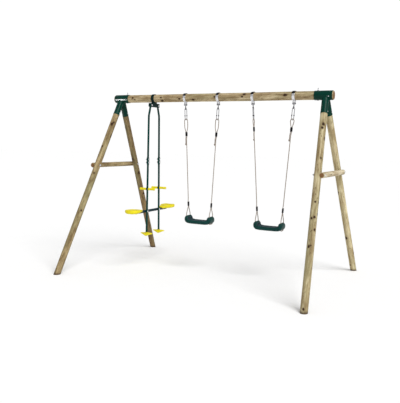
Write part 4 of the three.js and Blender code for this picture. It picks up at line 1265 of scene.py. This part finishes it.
def saddle(end, depth):
    """A moulded saddle: narrow towards the arms, wide and round outside, dished with a raised rim."""
    node = f"glider_saddle_{end}"
    low, high = corners(node)
    inner, outer = (-high.y, -low.y) if depth < 0 else (low.y, high.y)
    tall, half_x = high.z - low.z, (high.x - low.x) / 2
    centre_x = (low.x + high.x) / 2
    rows, around = 84, 56
    points = []
    for row in range(rows + 1):
        t = (1 - math.cos(math.pi * row / rows)) / 2
        y = inner + (outer - inner) * t
        wide = saddle_half_width(t, half_x)
        round_end = max(0.0, 1 - abs(2 * t - 1) ** 16) ** 0.5
        rise = 0.030 + (tall - 0.030) * clip((t - 0.04) / 0.34) ** 0.8
        floor_z = low.z + (tall - rise) * 0.25
        top_z = floor_z + rise - 0.004 * (1 - t)
        dish = 0.012 * math.sin(math.pi * clip((t - 0.16) / 0.84)) ** 0.7
        for i in range(around):
            angle = 2 * math.pi * i / around
            c, s = math.cos(angle), math.sin(angle)
            x = wide * squared(c, 0.55)
            share = abs(x) / wide
            mid = (top_z + floor_z) / 2
            if s >= 0:
                lip = 0.5 + 0.5 * math.cos(math.pi * min(1.0, abs(share - 0.88) / 0.12))
                z = mid + (top_z - mid) * (1 - share ** 14) ** 0.5 - dish * (1 - share ** 2.2) + 0.0015 * lip
                z = min(z, high.z)
            else:
                keel = 0.25 + 0.75 * (1 - share ** 4) ** 0.6
                z = mid - (mid - floor_z) * keel * min(1.0, abs(s) ** 0.5 * 1.1)
            z = mid + (z - mid) * round_end
            points.append((centre_x + x, depth * y, z))
    piece = make(node, capped(points, rows + 1, around), [yellow], angle=60)
    bar_low, bar_high = corners("glider_seat_bar")
    channel = make("channel", block((bar_low.x - 0.0005, bar_low.y - 0.0045, low.z - 0.03),
                                    (bar_high.x + 0.0005, bar_high.y + 0.0045, bar_high.z + 0.0005),
                                    0.002), [])
    combine(piece, [channel], "DIFFERENCE", angle=60)
    place_on(piece, "glider_seat_bar", "yellow_plastic", node)
    saddle_screws(end, depth, inner)


def saddle_half_width(t, half):
    """Half a saddle's width at a share of its length from the inner end."""
    neck = 0.34
    swell = clip((t - 0.02) / 0.62)
    wide = neck + (1 - neck) * (3 * swell ** 2 - 2 * swell ** 3)
    tail = clip((t - 0.70) / 0.30)
    nose = min(1.0, t / 0.06)
    return half * wide * max(0.0, 1 - tail ** 2.6) ** 0.5 * (0.35 + 0.65 * nose ** 0.5) + 0.0008


def saddle_screws(end, depth, inner):
    """The screws under the seat bar that hold a saddle."""
    bar_low = corners("glider_seat_bar")[0]
    shape = Shape()
    for distance in (0.035, 0.105):
        y = depth * (inner + distance)
        head = Vector((SEAT_BAR.x, y, bar_low.z))
        turned([(0, 0.0045), (0.004, 0.0042), (0.0068, 0.0028), (0.0076, 0.0006), (0.0076, -0.001),
                (0, -0.001)], 24, toward(head, -UP), shape)
    piece = make(f"glider_saddle_screws_{end}", shape, [zinc])
    place_on(piece, "glider_seat_bar", "zinc")


def make_glider():
    glider_clamp()
    for end, depth in (("front", -1), ("rear", 1)):
        glider_arm(end, depth)
        saddle(end, depth)
    seat_bar()


# ---- swings -----------------------------------------------------------------------------------

def rope_axes(swing, side):
    """A rope's frame: its origin is at the hanger's pin and it looks down the rope."""
    top = Vector((swing["centre"] + side * swing["top_half"], 0, PIVOT_Z))
    bottom = Vector((swing["centre"] + side * ROPE_BOTTOM_HALF, 0, PIVOT_Z - LOWER_CLAMP_BOTTOM))
    down = (bottom - top).normalized()
    across = -Vector((0, 1, 0)).cross(down)
    turn = math.radians(swing["turns"][0 if side < 0 else 1])
    return top, across, down, turn


def rope_route(swing, side):
    """From the tail up round the snap hook, down to the seat, under it and back up to the clamp."""
    top, across, down, turn = rope_axes(swing, side)

    def at(u, v, w):
        return top + across * u + Vector((0, v, 0)) + down * w

    def loop(a, w):
        return at(a * math.cos(turn), a * math.sin(turn), w)

    clamp = swing["clamp_top"]
    end = clamp + UPPER_CLAMP_LENGTH
    x = swing["centre"] + side * ROPE_BOTTOM_HALF
    below = PIVOT_Z - LOWER_CLAMP_BOTTOM

    def hung(y, z):
        return Vector((x, y, z))

    return [
        loop(-0.012, end + 0.092), loop(-0.0114, end + 0.062), loop(-0.0108, end + 0.030),
        loop(-STRAND_APART, end), loop(-STRAND_APART, clamp),
        loop(-0.012, clamp - 0.022), loop(-0.019, clamp - 0.052), loop(-0.0205, 0.193),
        loop(-0.0175, 0.180), loop(-0.010, 0.1725), loop(0, 0.1696), loop(0.010, 0.1725),
        loop(0.0175, 0.180), loop(0.0205, 0.193), loop(0.019, clamp - 0.052), loop(0.012, clamp - 0.022),
        loop(STRAND_APART, clamp), loop(STRAND_APART, end),
        loop(0.0006, end + 0.030), at(0, 0, end + 0.062), at(0, 0, end + 0.160),
        at(0, 0, 0.800), at(0, 0, LOWER_CLAMP_TOP - 0.140), at(0, 0, LOWER_CLAMP_TOP - 0.060),
        at(0, -0.0016, LOWER_CLAMP_TOP - 0.028),
        at(0, -STRAND_APART, LOWER_CLAMP_TOP), at(0, -STRAND_APART, LOWER_CLAMP_BOTTOM),
        hung(-0.017, below - 0.028), hung(-0.037, below - 0.070), hung(-HOLE_Y + 0.002, below - 0.096),
        hung(-HOLE_Y, SEAT_BOTTOM + 0.080), hung(-HOLE_Y, SEAT_BOTTOM + 0.028),
        hung(-HOLE_Y + 0.006, SEAT_BOTTOM + 0.013), hung(-HOLE_Y + 0.020, SEAT_BOTTOM + 0.0065),
        hung(0, SEAT_BOTTOM + 0.006),
        hung(HOLE_Y - 0.020, SEAT_BOTTOM + 0.0065), hung(HOLE_Y - 0.006, SEAT_BOTTOM + 0.013),
        hung(HOLE_Y, SEAT_BOTTOM + 0.028), hung(HOLE_Y, SEAT_BOTTOM + 0.080),
        hung(HOLE_Y - 0.002, below - 0.096), hung(0.037, below - 0.070), hung(0.017, below - 0.028),
        at(0, STRAND_APART, LOWER_CLAMP_BOTTOM), at(0, STRAND_APART, LOWER_CLAMP_TOP + 0.020),
    ]


def rope(swing, side, hand):
    """Three-strand laid rope along its route, with a stopper knot on its tail."""
    body = swing["name"]
    name = f"{body}_{hand}_rope"
    path = evenly(smooth_path(rope_route(swing, side), 12), 0.0032)
    sides = 18
    lay = 2 * math.pi * 0.0032 / 0.034       # turn of the strands from one ring to the next
    # Painted shade for the valleys between the strands: 0 on a strand's crest, 1 deepest between strands.
    painted_valley_shade = []

    def section(i):
        ring = []
        for k in range(sides):
            angle = 2 * math.pi * k / sides
            lobe = abs(math.cos(1.5 * (angle - i * lay)))
            ring.append((angle, ROPE_RADIUS * (0.80 + 0.20 * lobe ** 0.55)))
            painted_valley_shade.append(1 - lobe ** 0.35)
        return [(r * math.cos(a), r * math.sin(a)) for a, r in ring]

    piece = make(name, swept(path, section), [rope_white], angle=180)
    write_attribute(piece, "painted_valley_shade", "FLOAT", painted_valley_shade)
    place_on(piece, body, "rope", f"{name}")
    knot = stopper_knot(f"{name}_knot", path[0], path[0] - path[6])
    place_on(knot, body, "rope")
    return piece, path, knot


def stopper_knot(name, start, direction):
    """A tight overhand knot at the tail of a rope."""
    place = toward(start, direction, 0.6)
    path = []
    for i in range(90):
        t = 2 * math.pi * i / 90
        r = 0.0052 + 0.0022 * math.cos(3 * t)
        rise = 0.004 + 0.0052 * math.sin(3 * t)
        path.append(place @ Vector((r * math.cos(2 * t), r * math.sin(2 * t), rise)))
    shape = wire(path, 0.0036, 10, closed=True)
    turned([(0, 0.008), (0.0034, 0.008), (0.0040, 0.012), (0.0036, 0.018), (0.0020, 0.0195), (0, 0.020)],
           14, place, shape)
    piece = make(name, shape, [rope_white], angle=180)
    # The whole knot takes a flat share of the painted valley shade.
    write_attribute(piece, "painted_valley_shade", "FLOAT", [0.15] * len(piece.data.vertices))
    return piece


def clamp(name, swing, side, start, end, upper, node):
    """A moulded clamp round two strands: rounded and ribbed."""
    top, across, down, turn = rope_axes(swing, side)
    fore = Vector((0, 1, 0))
    if upper:
        wide_axis = across * math.cos(turn) + fore * math.sin(turn)
    else:
        wide_axis = fore
    deep_axis = down.cross(wide_axis)
    axes = Matrix((wide_axis, deep_axis, down)).transposed()
    place = Matrix.Translation(top + down * start) @ axes.to_4x4()
    length = end - start
    rows = [0.0, 0.0012, 0.003, 0.006]
    rib = [(0.006 + i * (length - 0.012) / 24) for i in range(25)]
    rows += rib + [length - 0.003, length - 0.0012, length]
    points, around = [], 40
    for z in sorted(set(rows)):
        edge = min(z, length - z)
        shrink = 0.0025 * (1 - min(1.0, edge / 0.003) ** 0.5)
        phase = (z - 0.008) / (length - 0.016)
        ridge = 0.0007 * (0.5 - 0.5 * math.cos(phase * 2 * math.pi * 5)) if 0 < phase < 1 else 0
        for i in range(around):
            angle = 2 * math.pi * i / around
            c, s = math.cos(angle), math.sin(angle)
            x = (0.0140 - shrink - 0.0007 + ridge) * squared(c, 0.6)
            y = (0.0095 - shrink - 0.0007 + ridge) * squared(s, 0.75)
            points.append((x, y, z))
    shape = capped(points, len(points) // around, around)
    piece = make(name, shape, [black], place, angle=50)
    piece_world(piece)
    bores = []
    for strand in (-STRAND_APART, STRAND_APART):
        line = top + wide_axis * strand
        bores.append(solid_rod("bore", line + down * (start - 0.02), line + down * (end + 0.02),
                               ROPE_RADIUS + 0.0003, 20))
    combine(piece, bores, "DIFFERENCE", angle=50)
    place_on(piece, swing["name"], "black_plastic", node)
    return piece


def hanger(name, x):
    """A zinc band round the beam, a welded fork, the pin with its nut, and a black cover on top that paints
    the band's dark reflection.
    """
    band = turned(rolled_tube(BEAM_BORE, BEAM_RADIUS + 0.0037, 2 * BAND_HALF, 0.001), 64)
    start = Vector((x - BAND_HALF, 0, BEAM.z))
    piece = make(name, band, [zinc], toward(start, ALONG))
    piece_world(piece)
    cheeks = []
    for side in (-1, 1):
        x0, x1 = sorted((x + side * 0.0112, x + side * 0.0150))
        cheeks.append(make("cheek", fork_cheek(x0, x1), []))
    bridge_z = PIVOT_Z + 0.0195
    bridge = make("bridge", block((x - 0.0148, -0.0125, bridge_z),
                                  (x + 0.0148, 0.0125, BEAM.z - 0.040), 0.001), [])
    combine(piece, [*cheeks, bridge], "UNION")
    hole = solid_rod("bore", Vector((x - 0.05, 0, BEAM.z)), Vector((x + 0.05, 0, BEAM.z)), BEAM_BORE)
    combine(piece, [hole], "DIFFERENCE", angle=30)
    pin = Shape()
    turned([(0, -0.0215), (0.0062, -0.0213), (0.0078, -0.0200), (0.0078, -0.0158), (0.005, -0.0156),
            (0.005, 0.0195), (0.0042, 0.0205), (0, 0.0205)], 28, shape=pin)
    nut_shell(pin, 0.0156, 0.0046, 0.0078, 0.0040)
    pin_piece = make(f"{name}_pin", pin, [dark_zinc], toward(Vector((x, 0, PIVOT_Z)), ALONG))
    place_on(piece, "root", "zinc", name)
    place_on(pin_piece, "root", "zinc")
    hanger_top_reflection(f"{name}_dark_reflection", x)


def fork_cheek(x0, x1):
    """One cheek of a fork: straight from the band, round below the pin."""
    outline = [(-0.013, BEAM.z - 0.035), (-0.013, PIVOT_Z)]
    for i in range(1, 16):
        angle = math.pi + math.pi * i / 16
        outline.append((0.013 * math.cos(angle), PIVOT_Z + 0.0135 * math.sin(angle)))
    outline += [(0.013, PIVOT_Z), (0.013, BEAM.z - 0.035)]
    return plate(outline, x0, x1)


def hanger_top_reflection(name, x):
    """A black cover over the top of a band, with a screw through its middle: a painted reflection, where the
    zinc band mirrors the dark studio top.
    """
    half, steps = 0.0175, 28
    inner, outer = BEAM_RADIUS + 0.0038, BEAM_RADIUS + 0.0078
    path, reach = [], math.radians(62)
    for i in range(steps + 1):
        angle = -reach + 2 * reach * i / steps
        path.append((math.sin(angle), math.cos(angle), min(1.0, 6 * (1 - abs(angle) / reach) + 0.25)))
    points = []
    section = [(-half, 0), (-half, 0.7), (-half + 0.002, 1), (half - 0.002, 1), (half, 0.7), (half, 0)]
    for y, z, thick in path:
        for across, height in section:
            radius = inner + (outer - inner) * height * thick
            points.append((x + across, y * radius, BEAM.z + z * radius))
    shape = capped(points, steps + 1, len(section))
    turned([(0, 0.0034), (0.003, 0.0032), (0.0055, 0.0020), (0.006, 0.0004), (0.006, -0.001), (0, -0.001)],
           20, toward(Vector((x, 0, BEAM.z + outer)), UP), shape, 1)
    # The black is a painted reflection of the dark studio top on the band.
    piece = make(name, shape, [black, zinc])
    place_on(piece, "root", "black_plastic")


def snap_hook(name, swing, side):
    """The link on the pin: an eye, a swivel, a long wire hook and its hinged gate."""
    top, across, down, turn = rope_axes(swing, side)
    fore = Vector((0, 1, 0))
    shape = Shape()
    ring = []
    for i in range(24):
        angle = 2 * math.pi * i / 24
        ring.append((0.0102 + 0.0040 * math.cos(angle), 0.0062 * math.sin(angle)))
    turned(ring, 40, toward(top, across), shape)
    turned([(0, 0.012), (0.0050, 0.012), (0.0050, 0.032), (0.0068, 0.034), (0.0088, 0.037), (0.0092, 0.044),
            (0.0088, 0.050), (0.0070, 0.055), (0.0050, 0.057), (0.0050, 0.060), (0, 0.060)],
           28, toward(top, down), shape, 1)
    plane = across * math.cos(turn) + fore * math.sin(turn)
    half, start, end = 0.013, 0.046 + 0.013, 0.1815 - 0.013
    path = []
    for bend, middle_w in ((0.0, start), (math.pi, end)):
        for i in range(17):
            angle = bend + math.pi * i / 16
            path.append(top + plane * (half * math.cos(angle)) + down * (middle_w - half * math.sin(angle)))
    wire(path, 0.0042, 16, shape, closed=True)
    hinge = top + down * HOOK_HINGE
    barrel = [(0, -0.0065), (0.005, -0.0065), (0.0068, -0.005), (0.0068, 0.005), (0.005, 0.0065),
              (0, 0.0065)]
    for offset in (half, -half):
        turned(barrel, 24, toward(hinge + plane * offset, down), shape, 1)
    piece = make(name, shape, [hook_zinc, dark_zinc])
    place_on(piece, swing["name"], "zinc", name)
    return piece


def swing_seat(swing):
    """A moulded seat: a dished trough with a lip front and back that ends in two thick rolls."""
    node = f"{swing['name']}_seat"
    low, high = corners(node)
    half_y = (high.y - low.y) / 2
    line = seat_line((high.x - low.x) / 2)
    around = 64
    points, paints = [], []
    count = len(line)
    for number, (x, z, nx, nz, thick, share) in enumerate(line):
        end = clip((share - 0.34) / 0.66)
        close = max(0.0, 1 - share ** 34) ** 0.5
        deep = half_y * (1 - 0.30 * end ** 2.2) * (0.66 + 0.34 * close)
        corner = 0.32 + 0.30 * end ** 2
        tread = 0.0009 * (number % 2) * (share < 0.55)
        for i in range(around):
            angle = 2 * math.pi * i / around
            c, s = math.cos(angle), math.sin(angle)
            y = deep * squared(c, corner)
            edge = abs(y) / deep
            out = thick * squared(s, (0.5 + 0.3 * end ** 2)) * close
            if s > 0 and share < 0.80:
                fade = min(1.0, (0.80 - share) / 0.2)
                out -= 0.0075 * fade * (1 - clip((edge - 0.76) / 0.12))
                out += tread * (edge < 0.72)
            points.append((swing["centre"] + x + nx * out, y, SEAT_BOTTOM + z + nz * out))
    for ring in range(count - 1):
        for i in range(around):
            angle = 2 * math.pi * (i + 0.5) / around
            on_top = math.sin(angle) > 0 and abs(math.cos(angle)) ** 0.32 < 0.84 and line[ring][5] < 0.80
            paints.append(1 if on_top else 0)
    shape = capped(points, count, around)
    shape.paints = paints + [0, 0]
    piece = make(node, shape, [seat_green, seat_tread], angle=50)
    channels = []
    for side in (-1, 1):
        path = smooth_path(rope_route(swing, side)[27:42], 8)
        channels.append(make("channel", wire(path, ROPE_RADIUS + 0.0012, 16), []))
    combine(piece, channels, "DIFFERENCE", angle=50)
    place_on(piece, swing["name"], "green_plastic", node)


def seat_line(half):
    """The middle line of a seat from end to end: (x, z, normal x, normal z, half thickness, share)."""
    rise = [
        (0.0, 0.0235, 0.0235), (0.36, 0.0240, 0.0238), (0.54, 0.0250, 0.0242), (0.66, 0.0275, 0.0250),
        (0.76, 0.0325, 0.0262), (0.825, 0.0430, 0.0278), (0.848, 0.0580, 0.0278), (0.850, 0.0720, 0.0268),
        (0.849, 0.0840, 0.0220), (0.848, 0.0930, 0.0130), (0.847, 0.0980, 0.0030),
    ]
    path = smooth_path([Vector((x * half, z, thick)) for x, z, thick in rise], 5)
    right = [(p.x, p.y, p.z) for p in path]
    whole = [(-x, z, thick) for x, z, thick in right[:0:-1]] + right
    line, total = [], len(whole)
    for i, (x, z, thick) in enumerate(whole):
        a, b = whole[max(i - 1, 0)], whole[min(i + 1, total - 1)]
        along = Vector((b[0] - a[0], b[1] - a[1])).normalized()
        share = abs(i - (total - 1) / 2) / ((total - 1) / 2)
        line.append((x, z, -along.y, along.x, thick, share))
    return line


def make_swings():
    for swing in SWINGS:
        for hand, side in SIDES.items():
            stem = f"{swing['name']}_{hand}"
            hanger(f"{stem}_hanger", swing["centre"] + side * swing["top_half"])
            snap_hook(f"{stem}_link", swing, side)
            piece, path, knot = rope(swing, side, hand)
            top_end = swing["clamp_top"] + UPPER_CLAMP_LENGTH
            upper = clamp(f"{stem}_upper_clamp", swing, side, swing["clamp_top"], top_end, True,
                          f"{stem}_upper_clamp")
            lower = clamp(f"{stem}_lower_clamp", swing, side, LOWER_CLAMP_TOP, LOWER_CLAMP_BOTTOM, False,
                          f"{stem}_lower_clamp")
        swing_seat(swing)


# ---- studio -----------------------------------------------------------------------------------

def make_studio():
    """A pale floor, a bright sky and soft lights."""
    mesh = bpy.data.meshes.new("floor")
    half = 60.0
    square = [(-half, -half, 0), (half, -half, 0), (half, half, 0), (-half, half, 0)]
    mesh.from_pydata(square, [], [(0, 1, 2, 3)])
    mesh.materials.append(studio_floor("floor"))
    floor = bpy.data.objects.new("floor", mesh)
    floor.location.z = -0.0005
    bpy.context.scene.collection.objects.link(floor)
    studio_sky()
    bpy.context.scene.view_settings.view_transform = "Standard"
    soft_sun()
    glint()


def studio_sky():
    """A white backdrop that lights the set less strongly than it looks."""
    world = bpy.data.worlds.new("studio")
    world.use_nodes = True
    tree = world.node_tree
    backdrop = tree.nodes["Background"]
    backdrop.inputs["Color"].default_value = (1, 1, 1, 1)
    backdrop.inputs["Strength"].default_value = BACKDROP
    glow = tree.nodes.new("ShaderNodeBackground")
    glow.inputs["Color"].default_value = (1, 1, 1, 1)
    glow.inputs["Strength"].default_value = SKY_LIGHT
    seen = tree.nodes.new("ShaderNodeLightPath")
    mixed = tree.nodes.new("ShaderNodeMixShader")
    tree.links.new(seen.outputs["Is Camera Ray"], mixed.inputs[0])
    tree.links.new(glow.outputs[0], mixed.inputs[1])
    tree.links.new(backdrop.outputs[0], mixed.inputs[2])
    tree.links.new(mixed.outputs[0], tree.nodes["World Output"].inputs["Surface"])
    bpy.context.scene.world = world


def soft_sun():
    """An even, soft light from the right and above, for shadows on the floor."""
    data = bpy.data.lights.new("sun", "SUN")
    data.energy = SUN_LIGHT
    data.angle = SUN_SPREAD
    light = bpy.data.objects.new("sun", data)
    light.matrix_world = toward(Vector((5, -4, 6)), (0.62, -0.42, 0.78))
    bpy.context.scene.collection.objects.link(light)


def glint():
    """A strip near the floor on the left, seen only as a bright line along the left sleeve."""
    data = bpy.data.lights.new("glint", "AREA")
    data.shape = "RECTANGLE"
    data.size = GLINT_LONG
    data.size_y = GLINT_WIDE
    data.energy = GLINT_LIGHT
    light = bpy.data.objects.new("glint", data)
    sleeve = middle("corner_bracket_left")
    away = (GLINT_PLACE - Vector((sleeve.x, 0, BEAM.z))).normalized()
    along = (ALONG - away * away.x).normalized()
    axes = Matrix((along, away.cross(along), away)).transposed()
    light.matrix_world = Matrix.Translation(GLINT_PLACE) @ axes.to_4x4()
    light.visible_camera = False
    light.visible_diffuse = False
    bpy.context.scene.collection.objects.link(light)
    lit = bpy.data.collections.new("glint_on")
    lit.objects.link(bpy.data.objects["corner_bracket_left_steel"])
    light.light_linking.receiver_collection = lit


make_camera()
make_swings()
make_timber()
make_frame_bolts()
for hand_name, hand_side in SIDES.items():
    corner_bracket(hand_name, hand_side)
make_glider()
make_studio()
